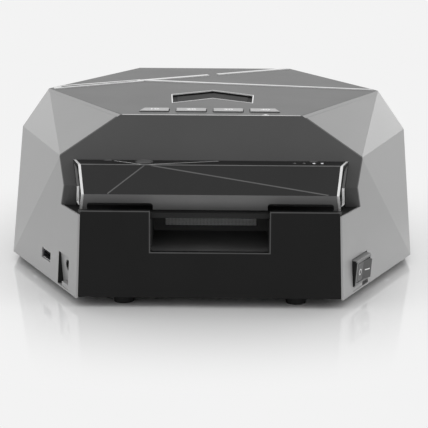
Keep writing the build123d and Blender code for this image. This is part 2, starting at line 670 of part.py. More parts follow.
def top_cover(trims):
    cover = upper(0, 0, COVER_SEAT_Z, TOP_Z)
    cover += upper(WALL + FIT, FASCIA_T + FIT, COVER_UNDER_Z, COVER_SEAT_Z)
    lip_bottom = COVER_UNDER_Z - COVER_LIP_H
    cover += (upper(WALL + FIT, FASCIA_T + FIT, lip_bottom, COVER_UNDER_Z)
              - upper(WALL + FIT + COVER_LIP_T, FASCIA_T + FIT + COVER_LIP_T, lip_bottom, COVER_UNDER_Z))
    cover -= chevron(0, (TOP_Z - BEZEL_T, TOP_Z + 1))
    cover -= chevron(BEZEL_W, (TOP_Z - CHEVRON_DEPTH, TOP_Z))
    for index in range(len(KEY_SPANS)):
        cover -= key_prism(index, FIT, (COVER_UNDER_Z - 1, TOP_Z + 1))
    for trim in trims:
        cover -= trim
    for side in (1, -1):
        x, y = side * KEY_POST_X, sum(KEY_BOARD_Y) / 2
        cover += rod_z(x, y, (key_board_z() + BOARD_T, COVER_UNDER_Z), KEY_POST_R)
    return cover


def chevron_parts():
    bezel_z = (TOP_Z - BEZEL_T, TOP_Z + BEZEL_PROUD)
    bezel = chevron(0, bezel_z) - chevron(BEZEL_W, bezel_z)
    return bezel, chevron(BEZEL_W, (TOP_Z - CHEVRON_DEPTH, TOP_Z - CHEVRON_SINK))


# ---- keys ----
def key_board_z():
    """Underside of the key board: the switches end just below the key stems."""
    return COVER_UNDER_Z - KEY_TRAVEL - KEY_ROOM - SWITCH_H - BOARD_T


def switch_top_z():
    return key_board_z() + BOARD_T + SWITCH_H


def key_centre(index):
    return sum(KEY_SPANS[index]) / 2, sum(KEY_Y) / 2


def key(index):
    flange_top = COVER_UNDER_Z - FIT
    cap = key_prism(index, 0, (flange_top, TOP_Z + KEY_PROUD))
    cap = chamfer(cap.edges().group_by(Axis.Z)[-1], 0.3)
    cap += key_prism(index, KEY_FLANGE, (flange_top - 1, flange_top))
    x, y = key_centre(index)
    return cap + rod_z(x, y, (switch_top_z() + KEY_TRAVEL + 0.1, flange_top - 1), KEY_STEM_R)


def key_board():
    z = key_board_z()
    return slab((-KEY_BOARD_X, KEY_BOARD_X), KEY_BOARD_Y, (z, z + BOARD_T))


def tactile_switch(x, y, z):
    body = Pos(x, y, z) * Box(SWITCH_SIZE, SWITCH_SIZE, SWITCH_H - PLUNGER_H, align=LOW)
    return body + Pos(x, y, z) * Box(PLUNGER_SIZE, PLUNGER_SIZE, SWITCH_H, align=LOW)


def key_switches():
    return [tactile_switch(*key_centre(i), key_board_z() + BOARD_T) for i in range(len(KEY_SPANS))]


# ---- fascia ----
def hinge_ears():
    """Ears on the fascia that carry the hood's pins."""
    ears = []
    for side in (1, -1):
        x = (side * EAR_X - EAR_W / 2, side * EAR_X + EAR_W / 2)
        high, low = HINGE_Z + 0.8 * EAR_R, HINGE_Z - 0.8 * EAR_R
        root = prism_x([(HINGE_Y, high), (slope_y(high) + 0.4, high), (slope_y(low) + 0.4, low),
                        (HINGE_Y, low)], x)
        ears.append(rod_x(x, HINGE_Y, HINGE_Z, EAR_R) + root)
    return ears


def front_fascia():
    skin = upper(0, 0, LEDGE_Z, COVER_SEAT_Z) - upper(-1, FASCIA_EDGE_T, LEDGE_Z - 1, COVER_SEAT_Z + 1)
    lip_bottom = COVER_UNDER_Z - COVER_LIP_H - FIT
    backing = (upper(WALL + FIT, FASCIA_EDGE_T, SHELF_UNDER_Z, lip_bottom)
               - upper(WALL, FASCIA_T, SHELF_UNDER_Z - 1, lip_bottom + 1))
    shelf = lower(RIM + FIT, 0, SHELF_UNDER_Z, LEDGE_Z)
    shelf &= slab((-BLANK, BLANK), (SHELF_FRONT_Y, SHELF_BACK_Y), (0, TOP_Z))
    fascia = skin + backing + shelf
    for ear in hinge_ears():
        fascia += ear
    fascia -= slab((-FEED_SLOT_X, FEED_SLOT_X), (SHELF_FRONT_Y + 2, REVEAL_Y + 6), FEED_SLOT_Z)
    fascia -= rod_x((-BLANK, BLANK), HINGE_Y, HINGE_Z, PIN_R + RUNNING)
    return fascia


# ---- hood ----
def hood_silhouette():
    """Side view of the hood: its top, front face and lip, and the rear edge beside the fascia."""
    back_low = REVEAL_Y - 1.4
    knee_gap = KNEE_Y - 0.8
    round_off = BARREL_R * cos(radians(45))
    return [(HINGE_Y, HINGE_Z + BARREL_R), HOOD_TOP, HOOD_NOSE, HOOD_LIP, (back_low, HOOD_LIP[1]),
            (knee_gap, KNEE_Z), (HINGE_Y + BARREL_R, HINGE_Z), (HINGE_Y + round_off, HINGE_Z + round_off)]


def between_hood_ends(solid, inset):
    for side in (1, -1):
        normal = Vector(side, -HOOD_END_SLANT * 1.0, 0).normalized()
        end = Plane(origin=(side * HOOD_END_X, HINGE_Y, 0), z_dir=normal)
        solid = split(solid, bisect_by=end.offset(-inset), keep=Keep.BOTTOM)
    return solid


def hood_shell(inlays):
    wide = (-HOOD_END_X - 9, HOOD_END_X + 9)
    chain = [(HINGE_Y, HINGE_Z + BARREL_R), HOOD_TOP, HOOD_NOSE, HOOD_LIP]
    sheet = prism_x(strip(chain, HOOD_T), wide) + rod_x(wide, HINGE_Y, HINGE_Z, BARREL_R)
    hood = between_hood_ends(sheet, HOOD_RIM_T)
    x0, x1 = HOOD_WINDOW_X
    for side in (1, -1):
        window = Pos(side * (x0 + x1) / 2, HOOD_LIP[0], HOOD_WINDOW_Z) * Box(x1 - x0, 12, 12, align=HIGH)
        corners = window.edges().filter_by(Axis.Y).group_by(Axis.Z)[-1]
        hood -= fillet(corners, HOOD_WINDOW_R)
        ear_x = (side * EAR_X - EAR_W / 2 - FIT, side * EAR_X + EAR_W / 2 + FIT)
        hood -= slab(ear_x, (HINGE_Y - EAR_R - 2 * FIT, 0), (HINGE_Z - 3, HINGE_Z + 3))
    pin_end = EAR_X + PIN_REACH
    for side in (1, -1):
        hood -= rod_x(sorted((side * pin_end, side * (2 * EAR_X - pin_end))), HINGE_Y, HINGE_Z, PIN_R)
    board_top = HOOD_BOARD_Z + HOOD_BOARD_T
    for x in (BUTTON_X + 3 * HOOD_POST_SIZE, LAMPS[0][0] - 2 * HOOD_POST_SIZE):
        post = Box(HOOD_POST_SIZE, HOOD_POST_SIZE, HOOD_TOP[1] - HOOD_T / 2 - board_top, align=LOW)
        hood += Pos(x, sum(HOOD_BOARD_Y) / 2, board_top) * post
    hood -= rod_z(*BUTTON, (HOOD_BOARD_Z + HOOD_BOARD_T, TOP_Z), BUTTON_RING_R)
    for x, y in LAMPS:
        hood -= Pos(x, y, board_top) * Box(LAMP_SIZE, LAMP_SIZE, TOP_Z - board_top, align=LOW)
    for inlay in inlays:
        hood -= inlay
    return hood


def hood_rims():
    """Open frames that close the two ends of the hood."""
    side_view = make_face(Polyline(*hood_silhouette(), close=True))
    hole = offset(side_view, -HOOD_RIM_W, kind=Kind.INTERSECTION)
    wide = Plane.YZ.offset(-HOOD_END_X - 9)
    ring = extrude(wide * (side_view - hole), 2 * HOOD_END_X + 18)
    ring = between_hood_ends(ring, 0) - between_hood_ends(ring, HOOD_RIM_T)
    return list(ring.solids())


def hood_face(start, end):
    """Frame on a face of the hood between two corners of its side view: x to the right, z into the hood."""
    start, end = Vector(0, *start), Vector(0, *end)
    normal = Vector(1, 0, 0).cross((end - start).normalized())
    return Plane(origin=start, x_dir=(1, 0, 0), z_dir=normal), (end - start).length


def inlay_band(face, a, b):
    """Thin strip let into a face between two points of it."""
    run = Vector(b[0] - a[0], b[1] - a[1])
    turn = Vector(1, 0).get_signed_angle(run, Vector(0, 0, 1))
    strip_box = Box(run.length, INLAY_W, INLAY_PROUD + INLAY_DEPTH, align=LOW)
    return face * Pos((a[0] + b[0]) / 2, (a[1] + b[1]) / 2, -INLAY_PROUD) * Rot(0, 0, turn) * strip_box


def hood_inlays():
    """Silver lines that meet at the round button: two on top and two down the front face."""
    front, front_length = hood_face(HOOD_TOP, HOOD_NOSE)
    top, top_length = hood_face((HINGE_Y, HINGE_Z + BARREL_R), HOOD_TOP)
    bands = [inlay_band(front, (BUTTON_X + high, INLAY_END), (BUTTON_X + low, front_length - INLAY_END))
             for high, low in FACE_INLAYS]
    bands += [inlay_band(top, (BUTTON_X + near, top_length - INLAY_END), (BUTTON_X + far, ahead))
              for near, far, ahead in TOP_INLAYS]
    return bands


def hood_button_parts():
    x, y = BUTTON
    top = HINGE_Z + BARREL_R
    switch_z = HOOD_BOARD_Z + HOOD_BOARD_T
    ring = rod_z(x, y, (top - HOOD_T, top + 0.4), BUTTON_RING_R)
    ring -= rod_z(x, y, (0, TOP_Z), BUTTON_R + 0.1)
    button = rod_z(x, y, (top - HOOD_T, top + BUTTON_PROUD), BUTTON_R)
    button = chamfer(button.edges().group_by(Axis.Z)[-1], 0.3)
    stem_z = (switch_z + 1.2 + BUTTON_TRAVEL + 0.1, top - HOOD_T)
    button += rod_z(x, y, stem_z, 1.2)
    switch = Pos(x, y, switch_z) * Box(4.5, 4.5, 1.2, align=LOW)
    return ring, button, switch


def hood_board():
    return slab(HOOD_BOARD_X, HOOD_BOARD_Y, (HOOD_BOARD_Z, HOOD_BOARD_Z + HOOD_BOARD_T))


def hood_lamps():
    top = HINGE_Z + BARREL_R
    bottom = HOOD_BOARD_Z + HOOD_BOARD_T
    return [Pos(x, y, bottom) * Box(LAMP_SIZE, LAMP_SIZE, top + 0.1 - bottom, align=LOW) for x, y in LAMPS]


def hood_pins():
    return [rod_x((side * EAR_X - PIN_REACH, side * EAR_X + PIN_REACH), HINGE_Y, HINGE_Z, PIN_R)
            for side in (-1, 1)]


# ---- drawer ----
def panel_back(extra):
    """Everything behind the drawer panel, moved back by the extra."""
    return lower(-20, PANEL_SINK + PANEL_T + extra, 0, TOP_Z)


def drawer_panel(trims):
    panel = lower(RIM + FIT, PANEL_SINK, PANEL_BOTTOM, PANEL_TOP_Z) - panel_back(0)
    notch = Pos(0, LEDGE_FRONT_Y, NOTCH_Z) * Box(2 * NOTCH_X, 30, 60, align=LOW)
    notch = fillet(notch.edges().filter_by(Axis.Y).group_by(Axis.Z)[0], NOTCH_R)
    panel -= notch
    return panel - trims


def drawer_trim():
    """Thin bright edging along the panel's top and round its notch, on the front corner of each edge."""
    far = TRAY_X + 20
    chain = [(far, PANEL_TOP_Z), (NOTCH_X, PANEL_TOP_Z), (NOTCH_X, NOTCH_Z), (-NOTCH_X, NOTCH_Z),
             (-NOTCH_X, PANEL_TOP_Z), (-far, PANEL_TOP_Z)]
    band = Plane.XZ * make_face(Polyline(*strip(chain, PANEL_TRIM_W), close=True))
    band = extrude(band, 2 * TOE[1])
    front = (lower(RIM + FIT, PANEL_SINK, PANEL_BOTTOM, PANEL_TOP_Z)
             - lower(-20, PANEL_SINK + PANEL_TRIM_T, 0, TOP_Z))
    return band & front


def tray_room(x, y, z):
    return slab(x, y, z) & panel_back(0)


def drawer_tray():
    x, z = TRAY_X, TRAY_Z
    tray = tray_room((-x, x), (-BLANK, TRAY_BACK), z)
    hollow = slab((-x + TRAY_T, x - TRAY_T), (-BLANK, TRAY_BACK - TRAY_T), (z[0] + TRAY_T, BLANK))
    tray -= hollow & panel_back(TRAY_T)
    notch_hole = slab((-NOTCH_X - POCKET_T, NOTCH_X + POCKET_T), (-BLANK, POCKET_BACK_Y), (NOTCH_Z - POCKET_T, BLANK))
    tray -= notch_hole
    for side in (1, -1):
        edges = sorted((side * x, side * (x + RUNNER_W)))
        tray += tray_room(edges, (-BLANK, TRAY_BACK), RUNNER_Z)
        ledge = sorted((side * (x - TRAY_T - TRAY_LEDGE), side * (x - TRAY_T)))
        ledge_z = TRAY_Z[1] - BED_T - FIT
        tray += slab(ledge, (POCKET_BACK_Y + 2 * POCKET_T, TRAY_BACK - TRAY_T), (ledge_z - TRAY_T, ledge_z))
    return tray - slab((-VENT_X, VENT_X), (TRAY_BACK - 2 * TRAY_T, TRAY_BACK + 1), VENT_Z)


def drawer_pocket():
    """Finger pocket moulded with the deck that covers the front of the tray."""
    inner_x, deck_z = TRAY_X - TRAY_T, (TRAY_Z[1] - FIT - POCKET_T, TRAY_Z[1] - FIT)
    y_back = POCKET_BACK_Y + POCKET_T
    body = slab((-inner_x, inner_x), (-BLANK, y_back), deck_z) & panel_back(TRAY_T)
    bin_x = NOTCH_X + POCKET_T
    body += slab((-bin_x, bin_x), (-BLANK, y_back), (NOTCH_Z - POCKET_T, deck_z[1])) & panel_back(0)
    body -= slab((-NOTCH_X, NOTCH_X), (-BLANK, POCKET_BACK_Y), (NOTCH_Z, BLANK))
    body -= slab((-MESH_X, MESH_X), (POCKET_BACK_Y - 1, y_back + 1), MESH_Z)
    return body


def pocket_mesh():
    mesh = slab((-MESH_X, MESH_X), (POCKET_BACK_Y, POCKET_BACK_Y + MESH_T), MESH_Z)
    pitch = 2 * MESH_X / MESH_SLOTS
    for i in range(MESH_SLOTS):
        x = -MESH_X + (i + 0.5) * pitch
        mesh -= slab((x - MESH_SLOT_W / 2, x + MESH_SLOT_W / 2), (POCKET_BACK_Y - 1, POCKET_BACK_Y + 3),
                     (MESH_Z[0] + MESH_RIM, MESH_Z[1] - MESH_RIM))
    return mesh


def honeycomb_bed():
    x = TRAY_X - TRAY_T - FIT
    y = (POCKET_BACK_Y + POCKET_T + FIT, TRAY_BACK - TRAY_T - FIT)
    z = (TRAY_Z[1] - BED_T - FIT, TRAY_Z[1] - FIT)
    bed = slab((-x, x), y, z)
    pitch_x = 2 * BED_CELL * cos(radians(30))
    pitch_y = 1.5 * BED_CELL
    columns, rows = int(2 * (x - BED_RIM) / pitch_x), int((y[1] - y[0] - 2 * BED_RIM) / pitch_y)
    cell = RegularPolygon(BED_CELL - BED_WEB / sqrt(3), 6, rotation=30)
    cells = []
    for row in range(rows):
        shift = 0.5 if row % 2 else 0.0
        for column in range(columns - (row % 2)):
            cx = (column - (columns - 1) / 2 + shift) * pitch_x
            cy = (y[0] + y[1]) / 2 + (row - (rows - 1) / 2) * pitch_y
            cells.append(Pos(cx, cy, z[0] - 1) * cell)
    return bed - extrude(Sketch() + cells, BED_T + 2)


def drawer_channels():
    """C-shaped channels on the base that carry the tray's runners."""
    inner = TRAY_X + FIT
    web = TRAY_X + RUNNER_W + FIT
    parts = []
    for side in (1, -1):
        upright = slab(sorted((side * web, side * (web + CHANNEL_T))), CHANNEL_Y,
                       (BASE_Z[1], RUNNER_Z[1] + FIT + CHANNEL_LIP))
        for z in ((RUNNER_Z[0] - FIT - CHANNEL_LIP, RUNNER_Z[0] - FIT),
                  (RUNNER_Z[1] + FIT, RUNNER_Z[1] + FIT + CHANNEL_LIP)):
            upright += slab(sorted((side * inner, side * web)), CHANNEL_Y, z)
        parts.append(upright)
    return parts


# ---- base ----
def base_plate():
    plate = lower(WALL + FIT, WALL, *BASE_Z)
    plate &= slab((-BLANK, BLANK), (SHELF_FRONT_Y - 1, BLANK), (0, TOP_Z))
    for span, side in ((RECESS_ROCKER, 1), (RECESS_INLET, -1)):
        room = recess_block(span, RECESS_WALL + FIT, WALL)
        plate -= room if side > 0 else mirror(room, about=Plane.YZ)
    for x, y in boss_spots():
        plate -= rod_z(x, y, (0, BASE_Z[1] + 1), SCREW_R + 0.2)
    for i in range(BASE_SLOTS):
        y = (i - (BASE_SLOTS - 1) / 2) * BASE_SLOT_PITCH
        plate -= Pos(0, y, BASE_Z[0]) * Box(*BASE_SLOT, 4 * WALL)
    return plate


def base_screws():
    screws = []
    for x, y in boss_spots():
        head = rod_z(x, y, (BASE_Z[0] - SCREW_HEAD_H, BASE_Z[0]), SCREW_HEAD_R)
        screws.append(head + rod_z(x, y, (BASE_Z[0], BASE_Z[0] + SCREW_LENGTH), SCREW_R - 0.02))
    return screws


def rubber_feet():
    feet = []
    for x, y in FOOT_SPOTS:
        feet += mirrored(Pos(x, y, 0) * Cone(FOOT_R - FOOT_TAPER, FOOT_R, BASE_Z[0], align=LOW))
    return feet


# ---- ports ----
def rocker_bezel():
    frame = recess_floor(*BEZEL_CENTRE)
    block = Box(*BEZEL_SIZE, BEZEL_H, align=LOW)
    block = fillet(block.edges().filter_by(Axis.Z), BEZEL_CORNER)
    block = chamfer(block.edges().group_by(Axis.Z)[-1], BEZEL_CORNER / 2)
    body = Box(*SWITCH_BODY, align=HIGH)
    well = Pos(0, 0, BEZEL_H) * Box(*ROCKER_WELL, align=HIGH)
    stub_hole = Pos(0, 0, BEZEL_H - ROCKER_PIVOT) * Rot(90, 0, 0)
    bore = stub_hole * Cylinder(ROCKER_STUB[0] + RUNNING, ROCKER_SIZE[2] + 2 * ROCKER_STUB[1] + FIT)
    switch = block + body - well - bore
    for i in (-1, 0, 1):
        switch += Pos(i * TERMINAL_PITCH, 0, -SWITCH_BODY[2]) * Box(*TERMINAL_SIZE, align=HIGH)
    return frame * switch


def rocker():
    """Switch rocker with a shallow V on top, tipped so that its far half stands up."""
    half_top, half_pivot, width = ROCKER_SIZE[0] / 2, ROCKER_SIZE[1] / 2, ROCKER_SIZE[2]
    dip = half_top * tan(radians(ROCKER_TILT))
    keel_in, keel = ROCKER_KEEL
    outline = [(0, ROCKER_RISE), (half_top, ROCKER_RISE + dip), (half_pivot, 0), (half_pivot - keel_in, -keel),
               (-half_pivot + keel_in, -keel), (-half_pivot, 0), (-half_top, ROCKER_RISE + dip)]
    face = Plane.XZ.offset(-width / 2) * make_face(Polyline(*outline, close=True))
    body = extrude(face, width)
    body += Rot(90, 0, 0) * Cylinder(ROCKER_STUB[0], width + 2 * ROCKER_STUB[1])
    place = recess_floor(*BEZEL_CENTRE) * Pos(0, 0, BEZEL_H - ROCKER_PIVOT)
    return place * Rot(0, -ROCKER_TILT, 0) * body


def left_port(frame, solid):
    return mirror(frame * solid, about=Plane.YZ)


def dc_jack():
    frame = recess_floor(*INLET_HOLE)
    body = Pos(0, 0, -RECESS_WALL) * Box(*JACK_SIZE, align=HIGH)
    collar = Pos(0, 0, -RECESS_WALL) * Cylinder(INLET_HOLE_R - 2 * RUNNING, RECESS_WALL - FIT, align=LOW)
    bore = Cylinder(JACK_BORE_R, JACK_DEPTH, align=HIGH)
    pin = Pos(0, 0, -JACK_DEPTH) * Cylinder(JACK_PIN_R, JACK_DEPTH - JACK_PIN_SINK, align=LOW)
    return left_port(frame, body + collar - bore), left_port(frame, pin)


def usb_parts():
    w, h, depth = USB_SHELL
    t = USB_SHELL_T
    frame = flank_frame(*USB_CENTRE, -USB_SINK)
    shell = Box(w, h, depth, align=HIGH) - Pos(0, 0, t) * Box(w - 2 * t, h - 2 * t, depth, align=HIGH)
    tongue = Box(*USB_TONGUE, align=(Align.CENTER, Align.MAX, Align.MIN))
    tongue = Pos(0, h / 2 - 2 * t, t - depth) * tongue
    return left_port(frame, shell), left_port(frame, tongue)


# ---- exhaust ----
def exhaust_grille():
    """Insert in the rear wall with slats that slant down and out."""
    plate = Box(GRILLE_SIZE, GRILLE_SIZE, GRILLE_T, align=HIGH)
    inner = GRILLE_SIZE - 2 * GRILLE_FRAME
    grille = plate - Box(inner, inner, 3 * GRILLE_T)
    pitch = inner / GRILLE_SLATS
    slat = Rot(GRILLE_SLAT_TILT, 0, 0) * Box(inner + GRILLE_FRAME, GRILLE_SLAT_T, 3 * GRILLE_T)
    for i in range(GRILLE_SLATS):
        v = (i + 0.5) * pitch - inner / 2
        grille += Pos(0, v, -GRILLE_T / 2) * slat & plate
    return rear_frame(0, 0, 0) * grille


def fan_frame():
    body = Box(FAN_SIZE, FAN_SIZE, FAN_DEPTH, align=HIGH)
    body = chamfer(body.edges().filter_by(Axis.Z), FAN_CORNER)
    body -= Cylinder(FAN_BORE_R, 3 * FAN_DEPTH)
    back = Pos(0, 0, -FAN_DEPTH)
    for i in range(3):
        strut = back * Pos(FAN_BORE_R / 2, 0, 0) * Box(FAN_BORE_R + FAN_RIM, *FAN_STRUT, align=LOW)
        body += Rot(0, 0, 30 + 120 * i) * strut
    body += back * Cylinder(FAN_HUB_R, FAN_BACK_T, align=LOW)
    body -= back * Cylinder(FAN_SHAFT_R + RUNNING, 3 * FAN_BACK_T)
    return rear_frame(0, 0, FAN_FACE) * body


def fan_rotor():
    height = FAN_DEPTH - FAN_BACK_T - 2 * FAN_FRONT_GAP
    hub = Cylinder(FAN_HUB_R, height)
    rotor = chamfer(hub.edges().group_by(Axis.Z)[-1], FAN_FRONT_GAP)
    envelope = Cylinder(FAN_TIP_R, height)
    blade = Pos(FAN_TIP_R / 2, 0, 0) * Rot(FAN_BLADE_PITCH, 0, 0) * Box(FAN_TIP_R + 1, FAN_BLADE_CHORD, FAN_BLADE_T)
    blade = blade & envelope - Cylinder(FAN_HUB_R / 2, height)
    for i in range(FAN_BLADES):
        rotor += Rot(0, 0, 360 * i / FAN_BLADES) * blade
    rotor += Pos(0, 0, -height / 2) * Cylinder(FAN_SHAFT_R, FAN_BACK_T, align=HIGH)
    return rear_frame(0, 0, FAN_FACE - FAN_FRONT_GAP - height / 2) * rotor


# ---- gantry, held on the chassis ----
def rail_post(side, end):
    x, y = side * RAIL_X, end * POST_Y
    w, d = POST_SIZE
    post = Pos(x, y, BASE_Z[1]) * Box(w, d, POST_TOP_Z - BASE_Z[1], align=LOW)
    post = chamfer(post.edges().filter_by(Axis.Y).group_by(Axis.Z)[-1], POST_CORNER)
    return post - rod_y(x, (-RAIL_END, RAIL_END), RAIL_Z, ROD_R)


def y_rails():
    return [rod_y(side * RAIL_X, (-RAIL_END, RAIL_END), RAIL_Z, ROD_R) for side in (-1, 1)]


def y_bearing():
    x = (Y_SCREW_X - BEARING_HALF, RAIL_X - POST_SIZE[0] / 2)
    y = (-POST_Y - POST_SIZE[1] / 2, -POST_Y + POST_SIZE[1] / 2)
    block = slab(x, y, (RAIL_Z - BEARING_HALF, RAIL_Z + BEARING_HALF))
    return block - rod_y(Y_SCREW_X, (Y_SCREW_Y[0], 0), RAIL_Z, SCREW_ROD_R + RUNNING)


def y_motor_bracket():
    half = Y_MOTOR_SIZE / 2 + BRACKET_RIM
    x = (Y_SCREW_X - half, Y_SCREW_X + half)
    face = Y_MOTOR_Y[0]
    plate = slab(x, (face - BRACKET_T, face), (BASE_Z[1], RAIL_Z + half))
    plate += slab(x, (face - BRACKET_T, face + BRACKET_FOOT), (BASE_Z[1], BASE_Z[1] + BRACKET_T))
    return plate - rod_y(Y_SCREW_X, (0, face + 1), RAIL_Z, NUT_R)


def y_motor():
    half = Y_MOTOR_SIZE / 2
    body = slab((Y_SCREW_X - half, Y_SCREW_X + half), Y_MOTOR_Y, (RAIL_Z - half, RAIL_Z + half))
    body = chamfer(body.edges().filter_by(Axis.Y), Y_MOTOR_CHAMFER)
    return body - rod_y(Y_SCREW_X, (0, Y_SCREW_Y[1] + FIT), RAIL_Z, SCREW_ROD_R + RUNNING)


def y_screw():
    return rod_y(Y_SCREW_X, Y_SCREW_Y, RAIL_Z, SCREW_ROD_R)


# ---- gantry, moving ----
def rod_pockets():
    """The two X rods; both carriages take their ends."""
    x = (-CARRIAGE_X[0] - CROSS_SOCKET, CARRIAGE_X[0] + CROSS_SOCKET)
    return [rod_x(x, GANTRY_Y + end * CROSS_PITCH / 2, CROSS_Z, CROSS_R) for end in (-1, 1)]


def carriage(side):
    y = (GANTRY_Y - CARRIAGE_Y, GANTRY_Y + CARRIAGE_Y)
    body = slab(sorted((side * CARRIAGE_X[0], side * CARRIAGE_X[1])), y, CARRIAGE_Z)
    if side > 0:
        body += slab((CARRIAGE_ARM_X, CARRIAGE_X[0]), y, (RAIL_Z + ARM_RISE[0], RAIL_Z + ARM_RISE[1]))
        body -= rod_y(Y_SCREW_X, y, RAIL_Z, SCREW_ROD_R + SCREW_ROOM)
        body -= rod_y(Y_SCREW_X, (GANTRY_Y - NUT_L / 2, y[1]), RAIL_Z, NUT_R)
        end = (CARRIAGE_ARM_X, CARRIAGE_ARM_X + SCREW_END)
        body -= rod_x(end, GANTRY_Y, CROSS_SCREW_Z, SCREW_ROD_R + RUNNING)
    body -= rod_y(side * RAIL_X, y, RAIL_Z, BUSH_R)
    for rod in rod_pockets():
        body -= rod
    return body


def y_bushes():
    y = (GANTRY_Y - CARRIAGE_Y, GANTRY_Y + CARRIAGE_Y)
    return [rod_y(x, y, RAIL_Z, BUSH_R) - rod_y(x, y, RAIL_Z, ROD_R + RUNNING) for x in (-RAIL_X, RAIL_X)]


def y_nut():
    y = (GANTRY_Y - NUT_L / 2, GANTRY_Y + NUT_L / 2)
    return rod_y(Y_SCREW_X, y, RAIL_Z, NUT_R) - rod_y(Y_SCREW_X, y, RAIL_Z, SCREW_ROD_R + RUNNING)


def x_motor():
    x = (-CARRIAGE_X[0], -CARRIAGE_X[0] + X_MOTOR_L)
    body = rod_x(x, GANTRY_Y, CROSS_SCREW_Z, X_MOTOR_R)
    return body - rod_x((x[1] - X_MOTOR_BORE, x[1]), GANTRY_Y, CROSS_SCREW_Z, SCREW_ROD_R + RUNNING)


def x_screw():
    x = (-CARRIAGE_X[0] + X_MOTOR_L - X_MOTOR_BORE + FIT, CARRIAGE_ARM_X + SCREW_END - FIT)
    return rod_x(x, GANTRY_Y, CROSS_SCREW_Z, SCREW_ROD_R)


def laser_carriage():
    y = (GANTRY_Y - HEAD_Y, GANTRY_Y + HEAD_Y)
    body = slab((-HEAD_X, HEAD_X), y, HEAD_Z)
    for end in (-1, 1):
        body -= rod_x((-HEAD_X, HEAD_X), GANTRY_Y + end * CROSS_PITCH / 2, CROSS_Z, CROSS_R + RUNNING)
    body -= rod_x((-HEAD_X, HEAD_X), GANTRY_Y, CROSS_SCREW_Z, SCREW_ROD_R + SCREW_ROOM)
    return body - rod_x((-NUT_L / 2, HEAD_X), GANTRY_Y, CROSS_SCREW_Z, NUT_R)


def x_nut():
    x = (-NUT_L / 2, NUT_L / 2)
    return (rod_x(x, GANTRY_Y, CROSS_SCREW_Z, NUT_R)
            - rod_x(x, GANTRY_Y, CROSS_SCREW_Z, SCREW_ROD_R + RUNNING))


def laser_module():
    """Square aluminium body with cooling fins down three sides."""
    half = LASER_SIZE / 2
    body = Pos(0, LASER_Y, LASER_Z[0]) * Box(LASER_SIZE, LASER_SIZE, LASER_Z[1] - LASER_Z[0], align=LOW)
    pitch = LASER_SIZE / FIN_COUNT
    for i in range(FIN_COUNT - 1):
        at = -half + (i + 1) * pitch
        groove = (at - FIN_W / 2, at + FIN_W / 2)
        body -= slab(groove, (LASER_Y - half, LASER_Y - half + FIN_DEPTH), LASER_Z)
        for side in (1, -1):
            x = sorted((side * half, side * (half - FIN_DEPTH)))
            body -= slab(x, (LASER_Y + groove[0], LASER_Y + groove[1]), LASER_Z)
    return body


def lens_parts():
    z = (LASER_Z[0] - LENS_RING_H, LASER_Z[0])
    ring = rod_z(0, LASER_Y, z, LENS_RING_R) - rod_z(0, LASER_Y, (z[0], z[1] - 1), LENS_R)
    lens = rod_z(0, LASER_Y, (z[0] + LENS_SINK, z[0] + LENS_SINK + LENS_T), LENS_R)
    return ring, lens


# ---- electronics ----
def circuit_board(side):
    x = sorted((side * BOARD_X[0], side * BOARD_X[1]))
    return slab(x, (-BOARD_Y, BOARD_Y), (BOARD_Z, BOARD_Z + BOARD_T))


def standoffs():
    pillars = []
    for side in (1, -1):
        for x in (BOARD_X[0] + STANDOFF_IN, BOARD_X[1] - STANDOFF_IN):
            for y in (-BOARD_Y + STANDOFF_IN, BOARD_Y - STANDOFF_IN):
                hexagon = RegularPolygon(STANDOFF_R, 6)
                pillars.append(Pos(side * x, y, BASE_Z[1]) * extrude(hexagon, BOARD_Z - BASE_Z[1]))
    return pillars


def board_components(side):
    """A chip, heat sinks, coils and a socket standing on a circuit board."""
    middle, z = side * sum(BOARD_X) / 2, BOARD_Z + BOARD_T
    spots = [((0.0, 0.0), CHIP_SIZE), (SOCKET_SPOT, SOCKET_SIZE)]
    spots += [(spot, SINK_SIZE) for spot in SINK_SPOTS]
    spots += [(spot, COIL_SIZE) for spot in COIL_SPOTS]
    return [Pos(middle + x, y, z) * Box(*size, align=LOW) for (x, y), size in spots]


